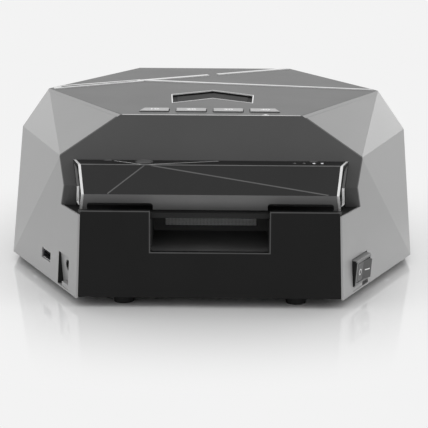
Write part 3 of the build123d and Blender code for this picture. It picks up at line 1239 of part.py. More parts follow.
# ---- build ----
def main():
    trims = trim_strips()
    bezel, window = chevron_parts()
    inlays = hood_inlays()
    ring, button, hood_switch = hood_button_parts()
    panel_trim = drawer_trim()
    jack, jack_pin = dc_jack()
    usb_shell, usb_tongue = usb_parts()
    ring_lens, lens = lens_parts()

    save("housing_shell", housing_shell())
    save("top_cover", top_cover(trims))
    save("top_trim", *trims)
    save("chevron_bezel", bezel)
    save("chevron_window", window)
    for index in range(len(KEY_SPANS)):
        save(f"key_{index + 1}", key(index))
    save("key_board", key_board(), *key_switches())
    save("front_fascia", front_fascia())

    save("hood_shell", hood_shell(inlays))
    save("hood_end_frames", *hood_rims())
    save("hood_inlay", *inlays)
    save("hood_pins", *hood_pins())
    save("hood_button", button)
    save("hood_button_ring", ring)
    save("hood_board", hood_board(), hood_switch)
    save("hood_lamps", *hood_lamps())

    save("drawer_panel", drawer_panel(panel_trim))
    save("drawer_trim", panel_trim)
    save("drawer_tray", drawer_tray())
    save("drawer_pocket", drawer_pocket())
    save("pocket_mesh", pocket_mesh())
    save("honeycomb_bed", honeycomb_bed())
    save("drawer_channels", *drawer_channels())

    save("base_plate", base_plate())
    save("base_screws", *base_screws())
    save("rubber_feet", *rubber_feet())

    save("rocker_bezel", rocker_bezel())
    save("rocker", rocker())
    save("dc_jack", jack, jack_pin)
    save("usb_shell", usb_shell)
    save("usb_tongue", usb_tongue)

    save("exhaust_grille", exhaust_grille())
    save("fan_frame", fan_frame())
    save("fan_rotor", fan_rotor())

    for side, side_name in ((-1, "left"), (1, "right")):
        save(f"rail_posts_{side_name}", rail_post(side, -1), rail_post(side, 1))
        save(f"carriage_{side_name}", carriage(side))
    save("y_rails", *y_rails())
    save("y_screw_bearing", y_bearing())
    save("y_motor_bracket", y_motor_bracket())
    save("y_motor", y_motor())
    save("y_screw", y_screw())
    save("y_bushes", *y_bushes())
    save("y_nut", y_nut())
    save("x_rods", *rod_pockets())
    save("x_motor", x_motor())
    save("x_screw", x_screw())
    save("x_nut", x_nut())
    save("laser_carriage", laser_carriage())
    save("laser_module", laser_module())
    save("lens_ring", ring_lens)
    save("lens", lens)
    save("circuit_boards", circuit_board(-1), circuit_board(1))
    save("board_standoffs", *standoffs())
    save("board_components", *board_components(-1), *board_components(1))


main()
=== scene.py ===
import json
import math
import bmesh
import bpy
from mathutils import Euler, Matrix, Vector

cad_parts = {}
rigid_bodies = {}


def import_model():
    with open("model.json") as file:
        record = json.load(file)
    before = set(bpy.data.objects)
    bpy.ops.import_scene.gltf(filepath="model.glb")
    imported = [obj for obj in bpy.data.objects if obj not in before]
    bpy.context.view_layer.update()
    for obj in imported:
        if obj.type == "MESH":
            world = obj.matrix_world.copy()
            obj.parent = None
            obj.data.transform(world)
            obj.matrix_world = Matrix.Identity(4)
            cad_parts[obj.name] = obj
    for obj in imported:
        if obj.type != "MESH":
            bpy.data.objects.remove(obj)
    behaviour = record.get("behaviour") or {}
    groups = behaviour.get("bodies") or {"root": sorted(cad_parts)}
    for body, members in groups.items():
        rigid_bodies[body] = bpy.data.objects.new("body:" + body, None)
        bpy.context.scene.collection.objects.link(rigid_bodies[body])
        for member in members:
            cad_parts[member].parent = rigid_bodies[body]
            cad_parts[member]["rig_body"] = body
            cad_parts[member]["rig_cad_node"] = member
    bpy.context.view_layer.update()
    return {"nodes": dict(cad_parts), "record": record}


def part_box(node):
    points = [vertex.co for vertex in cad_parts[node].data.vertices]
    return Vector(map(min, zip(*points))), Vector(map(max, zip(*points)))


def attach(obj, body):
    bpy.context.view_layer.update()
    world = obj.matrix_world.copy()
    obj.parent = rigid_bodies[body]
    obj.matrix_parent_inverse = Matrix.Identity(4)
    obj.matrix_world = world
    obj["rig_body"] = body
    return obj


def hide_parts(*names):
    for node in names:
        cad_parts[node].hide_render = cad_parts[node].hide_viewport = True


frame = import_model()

nodes = frame["nodes"]
record = frame["record"]
nodeSlot = {part["node"]: part["material_slot"] for part in record["subparts"]}
nodeBody = {node: body for body, members in record["behaviour"]["bodies"].items()
            for node in members}

mm = 0.001
hair = 0.01 * mm  # shorter lengths count as nothing
squareOn = 0.9  # least share of a normal along a direction for a face to count as facing it


# colours are written as sRGB hex and turned to the linear values that the shaders take
def hexColour(code):
    def linear(value):
        return value / 12.92 if value <= 0.04045 else ((value + 0.055) / 1.055) ** 2.4
    return tuple(linear(int(code[i:i + 2], 16) / 255) for i in (1, 3, 5)) + (1.0,)


# settings are the node's own properties, inputs its socket values, links {socket: output}
def addNode(tree, kind, settings=None, inputs=None, links=None):
    node = tree.nodes.new(kind)
    for name, value in (settings or {}).items():
        setattr(node, name, value)
    for name, value in (inputs or {}).items():
        node.inputs[name].default_value = value
    for name, output in (links or {}).items():
        tree.links.new(output, node.inputs[name])
    return node


# a material with one shader joined to its output
def newMaterial(name, shaderInputs):
    material = bpy.data.materials.new(name)
    material.use_nodes = True
    tree = material.node_tree
    tree.nodes.clear()
    shader = addNode(tree, "ShaderNodeBsdfPrincipled", inputs=shaderInputs)
    addNode(tree, "ShaderNodeOutputMaterial", links={"Surface": shader.outputs[0]})
    return material, tree, shader


# slow drift of tone and gloss across a surface; cloud is the size of a patch in mm
def drift(tree, shader, values):
    shape = {"detail": 4.0, "toneFrom": (0.35, 0.65), "glossFrom": (0.3, 0.7)}
    place = addNode(tree, "ShaderNodeTexCoord")
    cloud = addNode(tree, "ShaderNodeTexNoise",
                    inputs={"Scale": 1 / (values["cloud"] * mm), "Detail": shape["detail"]},
                    links={"Vector": place.outputs["Object"]})
    tone = addNode(tree, "ShaderNodeValToRGB", links={"Fac": cloud.outputs["Fac"]})
    stops = zip(tone.color_ramp.elements, shape["toneFrom"], values["tones"])
    for element, position, colour in stops:
        element.position = position
        element.color = hexColour(colour)
    tree.links.new(tone.outputs["Color"], shader.inputs["Base Color"])
    (leastCloud, mostCloud), (leastRough, mostRough) = shape["glossFrom"], values["rough"]
    gloss = addNode(tree, "ShaderNodeMapRange",
                    inputs={"From Min": leastCloud, "From Max": mostCloud,
                            "To Min": leastRough, "To Max": mostRough},
                    links={"Value": cloud.outputs["Fac"]})
    tree.links.new(gloss.outputs["Result"], shader.inputs["Roughness"])
    return place


# fine relief: grain is the distance between bumps in mm, depth their height in mm
def relief(tree, shader, place, values):
    shape = {"detail": 2.0, "strength": 1.0, "stretch": values.get("stretch", (1, 1, 1))}
    turned = addNode(tree, "ShaderNodeMapping", inputs={"Scale": shape["stretch"]},
                     links={"Vector": place.outputs["Object"]})
    fine = addNode(tree, "ShaderNodeTexNoise",
                   inputs={"Scale": 1 / (values["grain"] * mm), "Detail": shape["detail"]},
                   links={"Vector": turned.outputs["Vector"]})
    bump = addNode(tree, "ShaderNodeBump",
                   inputs={"Strength": shape["strength"], "Distance": values["depth"] * mm},
                   links={"Height": fine.outputs["Fac"]})
    tree.links.new(bump.outputs["Normal"], shader.inputs["Normal"])


# every finish drifts a little in tone and gloss, and those with a grain get its relief too
def makeFinish(values):
    material, tree, shader = newMaterial(values["name"], values["shader"])
    place = drift(tree, shader, values)
    if "grain" in values:
        relief(tree, shader, place, values)
    return material


# tones are the darkest and palest shade; cloud, grain and depth are in mm
finishValues = {
    # ABS moulding sprayed with satin silver-grey paint: soft highlights, faint orange peel
    "silver": {
        "name": "satin silver paint on ABS", "shader": {"Metallic": 0.25, "IOR": 1.5},
        "tones": ("#989898", "#9C9C9C"), "cloud": 55, "rough": (0.36, 0.42),
        "grain": 0.9, "depth": 0.006},
    # the same moulding in a darker graphite paint, for the top plate
    "graphite": {
        "name": "satin graphite paint on ABS", "shader": {"Metallic": 0.25, "IOR": 1.5},
        "tones": ("#555555", "#595959"), "cloud": 50, "rough": (0.36, 0.42),
        "grain": 0.9, "depth": 0.006},
    # a paler coat of the graphite paint on top of the key caps
    "key": {
        "name": "pale graphite paint on key caps", "shader": {"Metallic": 0.25, "IOR": 1.5},
        "tones": ("#AAAAAA", "#B0B0B0"), "cloud": 20, "rough": (0.34, 0.4),
        "grain": 0.8, "depth": 0.006},
    # moulded charcoal ABS of the sloping front: even satin with a fine eroded grain
    "charcoal": {
        "name": "grained charcoal ABS", "shader": {"IOR": 1.5, "Specular IOR Level": 0.25},
        "tones": ("#4A4A4A", "#4D4D4D"), "cloud": 45, "rough": (0.42, 0.5),
        "grain": 0.5, "depth": 0.02},
    # smoked acrylic over black ABS: deep dark grey with a clear soft gloss
    "acrylic": {
        "name": "smoked acrylic", "shader": {"IOR": 1.49, "Specular IOR Level": 0.3},
        "tones": ("#242424", "#262626"), "cloud": 35, "rough": (0.1, 0.16)},
    # satin band along the hood's lip: the same moulding, unpolished, painted paler as painted
    # light bounced up from below
    "lip": {
        "name": "satin grey ABS lip", "shader": {"IOR": 1.5, "Specular IOR Level": 0.3},
        "tones": ("#6C6C6C", "#707070"), "cloud": 30, "rough": (0.4, 0.46),
        "grain": 0.6, "depth": 0.01},
    # black ABS out of a polished tool: very dark, even, with a faint sheen
    "panel": {
        "name": "polished black ABS", "shader": {"IOR": 1.49, "Specular IOR Level": 0.12},
        "tones": ("#181818", "#1A1A1A"), "cloud": 30, "rough": (0.3, 0.36),
        "grain": 0.7, "depth": 0.006},
    # black ABS with a spark-eroded grain: dull, slightly speckled
    "matt": {
        "name": "spark-eroded black ABS", "shader": {"IOR": 1.5, "Specular IOR Level": 0.2},
        "tones": ("#1C1C1C", "#212121"), "cloud": 16, "rough": (0.55, 0.65),
        "grain": 0.6, "depth": 0.05},
    # inside of the drawer's pocket: black moulding painted pale as painted light reaching into the
    # pocket
    "pocket": {
        "name": "blasted black ABS painted pale as pocket light", "shader": {"IOR": 1.5, "Specular IOR Level": 0.2},
        "tones": ("#474747", "#4D4D4D"), "cloud": 18, "rough": (0.6, 0.7),
        "grain": 0.6, "depth": 0.04},
    # nylon of the rocker's bezel: mid grey satin, paler than the rocker
    "bezel": {
        "name": "grey nylon", "shader": {"IOR": 1.53, "Specular IOR Level": 0.4},
        "tones": ("#707070", "#767676"), "cloud": 15, "rough": (0.4, 0.48),
        "grain": 0.6, "depth": 0.02},
    # dark grey ABS of the rocker, carriages and grille: satin with a light grain
    "grey": {
        "name": "dark grey ABS", "shader": {"IOR": 1.5, "Specular IOR Level": 0.4},
        "tones": ("#4C4C4C", "#515151"), "cloud": 20, "rough": (0.38, 0.46),
        "grain": 0.6, "depth": 0.02},
    # woven wire, tinned: pale and dull
    "wire": {
        "name": "tinned wire", "shader": {"Metallic": 0.3},
        "tones": ("#E4E4E4", "#ECECEC"), "cloud": 5, "rough": (0.45, 0.55)},
    # satin chrome on a moulded strip: a pale base colour stands in for the plating's reflection, a
    # painted reflection that keeps it bright from every side, with a slight ripple
    "chrome": {
        "name": "satin chrome plated ABS", "shader": {"Metallic": 0.45},
        "tones": ("#E6E6E6", "#EEEEEE"), "cloud": 12, "rough": (0.3, 0.38),
        "grain": 3.0, "depth": 0.004},
    # smoked chrome on the hood's end frames and on the front bead, a painted highlight: darker,
    # keeps a metal's glint
    "smoked": {
        "name": "smoked chrome plating", "shader": {"Metallic": 0.8},
        "tones": ("#686868", "#707070"), "cloud": 12, "rough": (0.28, 0.34),
        "grain": 3.0, "depth": 0.004},
    # the darkest plating of all, on the drawer's edging
    "edging": {
        "name": "dark chrome plating", "shader": {"Metallic": 0.8},
        "tones": ("#4C4C4C", "#545454"), "cloud": 12, "rough": (0.3, 0.36),
        "grain": 3.0, "depth": 0.004},
    # hot-foil lines let into the hood: dim silver with a soft glint; on the hood's top the same
    # lines take bright chrome as a painted highlight
    "foil": {
        "name": "silver hot foil", "shader": {"Metallic": 0.4},
        "tones": ("#5C5C5C", "#646464"), "cloud": 8, "rough": (0.3, 0.38)},
    # drawn and ground bar: bright with fine marks
    "steel": {
        "name": "ground steel", "shader": {"Metallic": 1.0},
        "tones": ("#B4B4B6", "#C2C2C4"), "cloud": 5, "rough": (0.2, 0.32),
        "grain": 0.3, "depth": 0.004},
    # bead-blasted aluminium: pale, dull, evenly pitted
    "aluminium": {
        "name": "bead-blasted aluminium", "shader": {"Metallic": 1.0},
        "tones": ("#C4C5C7", "#CECFD1"), "cloud": 11, "rough": (0.36, 0.46),
        "grain": 0.4, "depth": 0.02},
    # turned brass: warm with faint tool marks
    "brass": {
        "name": "turned brass", "shader": {"Metallic": 1.0},
        "tones": ("#C0974E", "#CDA45A"), "cloud": 8, "rough": (0.22, 0.32),
        "grain": 0.3, "depth": 0.004},
    # flash gold on the socket's contacts: smooth and warm
    "gold": {
        "name": "flash gold plating", "shader": {"Metallic": 1.0},
        "tones": ("#C8A860", "#D2B26A"), "cloud": 4, "rough": (0.2, 0.28)},
    # moulded nitrile rubber: black with a chalky sheen
    "rubber": {
        "name": "nitrile rubber", "shader": {"Specular IOR Level": 0.3},
        "tones": ("#171717", "#1E1E1E"), "cloud": 11, "rough": (0.65, 0.8),
        "grain": 0.5, "depth": 0.06},
    # green solder mask on glass laminate: the weave shows faintly
    "board": {
        "name": "solder mask on FR4", "shader": {"IOR": 1.5},
        "tones": ("#12401F", "#174C27"), "cloud": 7, "rough": (0.28, 0.36),
        "grain": 0.5, "depth": 0.01, "stretch": (1, 4, 1)},
    # coated lens glass: clear, with a cool cast
    "glass": {
        "name": "coated lens glass", "shader": {"IOR": 1.5, "Transmission Weight": 0.9},
        "tones": ("#E6ECF2", "#F0F4F8"), "cloud": 25, "rough": (0.02, 0.04)},
    # frosted polycarbonate light pipe, unlit: soft grey
    "dimLamp": {
        "name": "frosted light pipe",
        "shader": {"IOR": 1.58, "Emission Color": hexColour("#F2F4FF"), "Emission Strength": 0.0},
        "tones": ("#5E5E5E", "#686868"), "cloud": 4, "rough": (0.3, 0.4)},
    # the same light pipe, lit: pale with a little glow
    "litLamp": {
        "name": "lit light pipe",
        "shader": {"IOR": 1.58, "Emission Color": hexColour("#F2F4FF"), "Emission Strength": 0.25},
        "tones": ("#D8D8D8", "#E0E0E0"), "cloud": 4, "rough": (0.3, 0.4)},
    # white pad-printed marks: flat and dull
    "print": {
        "name": "white pad print", "shader": {"IOR": 1.5},
        "tones": ("#E4E4E4", "#ECECEC"), "cloud": 3, "rough": (0.45, 0.55)},
}
slotFinish = {
    "shell_plastic": "silver", "cover_plastic": "graphite", "gloss_black": "panel",
    "fascia_plastic": "charcoal", "black_plastic": "matt", "dark_plastic": "grey",
    "bright_trim": "chrome", "steel": "steel", "aluminium": "aluminium", "brass": "brass",
    "rubber": "rubber", "board": "board", "lens_glass": "glass", "lamp_glass": "dimLamp",
    "motor_metal": "matt",
}
nodeFinish = {
    "hood_shell": "acrylic", "hood_end_frames": "smoked", "hood_inlay": "foil",
    "drawer_trim": "edging", "hood_button": "grey", "drawer_pocket": "pocket",
    "rocker_bezel": "bezel", "chevron_window": "matt",
}

print("materials")
finish = {name: makeFinish(values) for name, values in finishValues.items()}
for name, thing in nodes.items():
    thing.data.materials.clear()
    thing.data.materials.append(finish[nodeFinish.get(name, slotFinish[nodeSlot[name]])])


def deselectAll():
    bpy.ops.object.select_all(action="DESELECT")


# makes one object the only selected one and the active one
def activate(thing):
    deselectAll()
    thing.select_set(True)
    bpy.context.view_layer.objects.active = thing


# a piece that stands for a CAD node rides on that node's body
def standFor(piece, nodeName):
    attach(piece, nodeBody[nodeName])
    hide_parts(nodeName)


# loose triangles of a CAD node, merged in a copy and joined into its flat faces
def mergedCopy(nodeName, joinFaces=True):
    flatWithin = 1.0  # degrees between triangles of one flat face
    piece = nodes[nodeName].copy()
    piece.data = nodes[nodeName].data.copy()
    piece.name = nodeName + "_finished"
    piece.parent = None
    bpy.context.scene.collection.objects.link(piece)
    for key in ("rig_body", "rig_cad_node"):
        if key in piece:
            del piece[key]
    activate(piece)
    bpy.ops.mesh.customdata_custom_splitnormals_clear()
    bpy.ops.object.mode_set(mode="EDIT")
    bpy.ops.mesh.select_all(action="SELECT")
    bpy.ops.mesh.remove_doubles(threshold=hair)
    if joinFaces:
        bpy.ops.mesh.dissolve_limited(angle_limit=math.radians(flatWithin))
    bpy.ops.object.mode_set(mode="OBJECT")
    return piece


# selects the faces or edges of the active mesh, in edit mode, that pass a test
def selectWhere(piece, faceTest=None, edgeTest=None):
    bpy.ops.mesh.select_mode(type="FACE" if faceTest else "EDGE")
    bpy.ops.mesh.select_all(action="DESELECT")
    mesh = bmesh.from_edit_mesh(piece.data)
    for item in (mesh.faces if faceTest else mesh.edges):
        item.select_set((faceTest or edgeTest)(item))
    mesh.select_flush_mode()
    bmesh.update_edit_mesh(piece.data)


# gives the faces whose centre and normal pass a test another finish
def coat(piece, finishName, test):
    piece.data.materials.append(finish[finishName])
    slot = len(piece.data.materials) - 1
    for face in piece.data.polygons:
        if test(face.center, face.normal):
            face.material_index = slot


# shading breaks at folds sharper than a few degrees, so that flat faces look flat
def shadeFlats():
    crease = 8.0
    bpy.ops.object.shade_smooth_by_angle(angle=math.radians(crease))


# rounds the sharp edges that are long enough; radius and shortest in mm
def roundEdges(piece, radius, shortest=1.2):
    bevel = {"sharp": 25.0, "segments": 2}
    activate(piece)
    shadeFlats()
    bpy.ops.object.mode_set(mode="EDIT")
    selectWhere(piece, edgeTest=lambda edge: edge.is_manifold
                and edge.calc_length() > shortest * mm
                and edge.calc_face_angle() > math.radians(bevel["sharp"]))
    bpy.ops.mesh.bevel(offset=radius * mm, segments=bevel["segments"], clamp_overlap=True,
                       harden_normals=True)
    bpy.ops.object.mode_set(mode="OBJECT")


# plain mouldings: radius of their rounded edges in mm
mouldings = {"drawer_panel": 0.25, "hood_button_ring": 0.15, "exhaust_grille": 0.15}


def finishMouldings():
    for nodeName, radius in mouldings.items():
        piece = mergedCopy(nodeName)
        roundEdges(piece, radius)
        standFor(piece, nodeName)


# housing: silver outside, with the side wall of the power inlet's recess painted black as painted
# shade
def finishHousing():
    values = {"edge": 0.4, "reach": 7.0, "shadedWallFacing": (0.3, -0.8)}
    low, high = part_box("dc_jack")
    reach = values["reach"] * mm
    toRight, toFront = values["shadedWallFacing"]
    piece = mergedCopy("housing_shell")
    # the recess's side wall is coated black: painted shade
    coat(piece, "matt", lambda centre, normal: normal.y < toFront and normal.x > toRight
         and centre.x < 0
         and all(a - reach < c < b + reach for a, c, b in zip(low, centre, high)))
    roundEdges(piece, values["edge"])
    standFor(piece, "housing_shell")


# top plate: its rim is painted like the faces that it meets; the walls of its openings are painted
# dark as painted shade
def finishCover():
    values = {"edge": 0.3, "shortest": 4.0, "wallFrom": 94.0, "keyGap": 1.0, "upright": 0.3,
              "sideRim": (0.3, 0.95), "sideways": 0.3, "frontRim": (0.3, 0.6), "forward": -0.7}
    wallFrom, gap = values["wallFrom"] * mm, values["keyGap"] * mm
    sideLeast, sideMost = values["sideRim"]
    frontLeast, frontMost = values["frontRim"]
    piece = mergedCopy("top_cover")
    coat(piece, "silver", lambda centre, normal: sideLeast < normal.z < sideMost
         and abs(normal.x) > values["sideways"])
    coat(piece, "charcoal", lambda centre, normal: frontLeast < normal.z < frontMost
         and normal.y < values["forward"])
    low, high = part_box("chevron_bezel")
    # walls of the window's recess painted dark: painted shade
    coat(piece, "acrylic", lambda centre, normal: abs(normal.z) < values["upright"]
         and centre.z > wallFrom and low[0] < centre.x < high[0] and low[1] < centre.y < high[1])
    low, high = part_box("key_1")[0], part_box("key_4")[1]
    # walls of the key openings painted black: painted shade in the gaps round the keys
    coat(piece, "matt", lambda centre, normal: abs(normal.z) < values["upright"]
         and centre.z > wallFrom and low[0] - gap < centre.x < high[0] + gap
         and low[1] - gap < centre.y < high[1] + gap)
    roundEdges(piece, values["edge"], values["shortest"])
    standFor(piece, "top_cover")


# bright strips on the top plate, with the floor of the groove in the wide one painted black as a
# line of painted shade
def finishTrim():
    values = {"groove": 0.1, "clearOfFront": 30.0}
    piece = mergedCopy("top_trim")
    low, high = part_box("top_trim")
    # floor of the groove painted black: a line of painted shade
    coat(piece, "matt", lambda centre, normal: normal.z > squareOn
         and centre.z < high[2] - values["groove"] * mm
         and centre.y > low[1] + values["clearOfFront"] * mm)
    shadeFlats()
    standFor(piece, "top_trim")


# end frames of the hood: plated edges round cheeks painted dark as painted shade, with the top and
# front faces in bright chrome as a painted highlight
def finishEndFrames():
    values = {"edge": 0.15, "cheek": 0.6}
    piece = mergedCopy("hood_end_frames")
    # cheeks painted dark: painted shade
    coat(piece, "acrylic", lambda centre, normal: abs(normal.x) > values["cheek"])
    # faces looking up or forward in bright chrome: painted highlight
    coat(piece, "chrome", lambda centre, normal: normal.z > squareOn or normal.y < -squareOn)
    roundEdges(piece, values["edge"])
    standFor(piece, "hood_end_frames")


# foil lines: painted brighter where they lie on the hood's top, as a painted highlight
def finishInlay():
    values = {"upward": 0.8}
    piece = mergedCopy("hood_inlay")
    # foil faces on the hood's top in bright chrome: painted highlight
    coat(piece, "chrome", lambda centre, normal: normal.z > values["upward"])
    shadeFlats()
    standFor(piece, "hood_inlay")


# rocker's bezel with a black front cheek
def finishBezel():
    values = {"edge": 0.2, "cheekFaces": (-0.454, -0.888, 0), "within": 0.7}
    cheek = Vector(values["cheekFaces"])
    piece = mergedCopy("rocker_bezel")
    coat(piece, "matt", lambda centre, normal: normal.dot(cheek) > values["within"])
    roundEdges(piece, values["edge"])
    standFor(piece, "rocker_bezel")


# sloping front in charcoal with a matt black shelf at its foot: black moulding, kept dark also as
# painted shade under the hood
def finishFascia():
    values = {"shelf": 2.8, "edge": 0.25}
    piece = mergedCopy("front_fascia")
    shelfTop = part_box("front_fascia")[0][2] + values["shelf"] * mm
    # shelf in black moulding, also standing for the shade under the hood: partly painted shade
    coat(piece, "matt", lambda centre, normal: centre.z < shelfTop)
    roundEdges(piece, values["edge"])
    standFor(piece, "front_fascia")


# slim plated bead along the level edge where the hood's top meets its front: a painted highlight
# standing for the light caught by that edge
def addHighlightBead(hood):
    values = {"radius": 0.28, "sides": 16, "level": 0.1, "forward": -0.8, "upward": 0.2}
    radius = values["radius"] * mm
    mesh = bmesh.new()
    mesh.from_mesh(hood.data)
    found = []
    for edge in mesh.edges:
        start, end = (vertex.co.copy() for vertex in edge.verts)
        if len(edge.link_faces) == 2 and abs(start.z - end.z) < values["level"] * mm:
            upper, lower = sorted((face.normal for face in edge.link_faces),
                                  key=lambda normal: -normal.z)
            if upper.z > squareOn and lower.y < values["forward"] and lower.z > values["upward"]:
                found.append((edge.calc_length(), (start + end) / 2))
    mesh.free()
    length, middle = max(found, key=lambda entry: entry[0])
    deselectAll()
    # the bead stands for the light caught along the edge: painted highlight
    bpy.ops.mesh.primitive_cylinder_add(vertices=values["sides"], radius=radius, depth=length,
                                        location=middle, rotation=(0, math.pi / 2, 0))
    bead = bpy.context.object
    bead.name = "hood_highlight_bead"
    bpy.ops.object.transform_apply(location=True, rotation=True, scale=True)
    bpy.ops.object.mode_set(mode="EDIT")
    selectWhere(bead, faceTest=lambda face: abs(face.normal.x) > squareOn)
    bpy.ops.mesh.inset(thickness=radius / 2)
    bpy.ops.object.mode_set(mode="OBJECT")
    bead.data.materials.append(finish["smoked"])
    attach(bead, "hood")


# smoked hood: black top, a satin lip painted pale as painted bounce light, and a plated bead as a
# painted highlight where the top meets the front
def finishHood():
    values = {"lipForward": -0.5, "lipDown": -0.2}
    piece = mergedCopy("hood_shell", joinFaces=False)
    # lip faces painted paler: painted bounce light
    coat(piece, "lip", lambda centre, normal: normal.y < values["lipForward"]
         and normal.z < values["lipDown"])
    coat(piece, "panel", lambda centre, normal: normal.z > squareOn)
    addHighlightBead(piece)
    standFor(piece, "hood_shell")


# round push button with a shallow dish
def finishButton():
    values = {"rim": 0.8, "dish": 0.2, "edge": 0.15}
    piece = mergedCopy("hood_button")
    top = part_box("hood_button")[1][2]
    activate(piece)
    bpy.ops.object.mode_set(mode="EDIT")
    selectWhere(piece, faceTest=lambda face: face.normal.z > squareOn
                and face.calc_center_median().z > top - hair)
    bpy.ops.mesh.inset(thickness=values["rim"] * mm)
    bpy.ops.transform.translate(value=(0, 0, -values["dish"] * mm))
    bpy.ops.object.mode_set(mode="OBJECT")
    roundEdges(piece, values["edge"])
    standFor(piece, "hood_button")


# row of light pipes, those at its right end lit
def finishLamps():
    values = {"count": 4, "lit": 2, "edge": 0.2}
    piece = mergedCopy("hood_lamps")
    low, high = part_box("hood_lamps")
    litFrom = high[0] - (high[0] - low[0]) * values["lit"] / values["count"]
    coat(piece, "litLamp", lambda centre, normal: centre.x > litFrom)
    roundEdges(piece, values["edge"])
    standFor(piece, "hood_lamps")


# turns a mark drawn at the origin to lie on a face, with its place in its mesh
def layOn(piece, finishName, place, right, normal):
    normal = Vector(normal).normalized()
    right = (Vector(right) - normal * normal.dot(Vector(right))).normalized()
    turn = Matrix((right, normal.cross(right), normal)).transposed().to_4x4()
    piece.matrix_world = Matrix.Translation(place) @ turn
    activate(piece)
    bpy.ops.object.transform_apply(location=True, rotation=True, scale=True)
    piece.data.materials.append(finish[finishName])


# merges coincident corners and turns the faces outward, so that the piece is one closed skin
def closeSkin(piece):
    merge = 0.001 * mm  # finer than the thinnest stroke of a printed number
    activate(piece)
    bpy.ops.object.mode_set(mode="EDIT")
    bpy.ops.mesh.select_all(action="SELECT")
    bpy.ops.mesh.remove_doubles(threshold=merge)
    bpy.ops.mesh.normals_make_consistent(inside=False)
    bpy.ops.object.mode_set(mode="OBJECT")


# a word as a thin raised mesh, centred on the origin
def printedWord(name, word, values):
    deselectAll()
    bpy.ops.object.text_add()
    piece = bpy.context.object
    piece.name = name
    piece.data.body = word
    piece.data.align_x = "CENTER"
    piece.data.align_y = "CENTER"
    piece.data.size = values["size"] * mm
    piece.data.offset = values["stroke"] * mm
    piece.data.extrude = values["print"] * mm / 2
    bpy.ops.object.convert(target="MESH")
    piece = bpy.context.object
    closeSkin(piece)
    return piece


# a thin raised rectangle, centred on the origin; lengths in mm
def raisedPlate(name, width, length, thickness):
    deselectAll()
    bpy.ops.mesh.primitive_plane_add(size=1)
    plate = bpy.context.object
    plate.name = name
    bpy.ops.object.mode_set(mode="EDIT")
    bpy.ops.transform.resize(value=(width * mm, length * mm, 1), center_override=(0, 0, 0))
    bpy.ops.mesh.extrude_region_move(TRANSFORM_OT_translate={"value": (0, 0, thickness * mm)})
    bpy.ops.object.mode_set(mode="OBJECT")
    return plate


# key caps: pale tops, with the sides left dark as painted shade, and a generic preset number on
# each
def finishKeys():
    values = {"words": ("10", "20", "30", "40"), "size": 5.4, "stroke": 0.1, "print": 0.04,
              "edge": 0.25, "side": 0.3}
    for index, word in enumerate(values["words"]):
        nodeName = f"key_{index + 1}"
        low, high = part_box(nodeName)
        piece = mergedCopy(nodeName)
        # only the tops take the pale paint; the dark sides are painted shade
        coat(piece, "key", lambda centre, normal: centre.z > high[2] - values["side"] * mm)
        roundEdges(piece, values["edge"])
        standFor(piece, nodeName)
        mark = printedWord(f"preset_{word}", word, values)
        middle = ((low[0] + high[0]) / 2, (low[1] + high[1]) / 2, high[2])
        layOn(mark, "print", middle, (1, 0, 0), (0, 0, 1))
        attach(mark, nodeBody[nodeName])


# small printed arrow between the last key and the front edge
def printArrow():
    values = {"width": 4.2, "depth": 2.8, "behind": 1.6, "print": 0.04, "keyProud": 0.8}
    low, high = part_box("key_4")
    coverTop = high[2] - values["keyProud"] * mm
    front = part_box("top_cover")[0][1]
    deselectAll()
    bpy.ops.mesh.primitive_circle_add(vertices=3, radius=1, fill_type="NGON")
    piece = bpy.context.object
    piece.name = "key_arrow"
    bpy.ops.object.mode_set(mode="EDIT")
    # the circle's triangle is the root of 3 wide and 1.5 deep
    bpy.ops.transform.resize(value=(values["width"] * mm / math.sqrt(3),
                                    values["depth"] * mm / 1.5, 1), center_override=(0, 0, 0))
    bpy.ops.mesh.extrude_region_move(
        TRANSFORM_OT_translate={"value": (0, 0, values["print"] * mm)})
    bpy.ops.object.mode_set(mode="OBJECT")
    middle = ((low[0] + high[0]) / 2, front + values["behind"] * mm + values["depth"] * mm / 3,
              coverTop)
    layOn(piece, "print", middle, (1, 0, 0), (0, 0, 1))
    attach(piece, "chassis")


# chevron window: black pane with a raised middle and sloping sides
def finishChevron():
    values = {"margin": 2.6, "rise": 0.5, "slope": 0.5, "edge": 0.15}
    piece = mergedCopy("chevron_window")
    activate(piece)
    bpy.ops.object.mode_set(mode="EDIT")
    selectWhere(piece, faceTest=lambda face: face.normal.z > squareOn)
    bpy.ops.mesh.inset(thickness=values["margin"] * mm)
    bpy.ops.mesh.extrude_region_move(
        TRANSFORM_OT_translate={"value": (0, 0, values["rise"] * mm)})
    bpy.ops.mesh.inset(thickness=values["slope"] * mm)
    bpy.ops.object.mode_set(mode="OBJECT")
    roundEdges(piece, values["edge"])
    standFor(piece, "chevron_window")


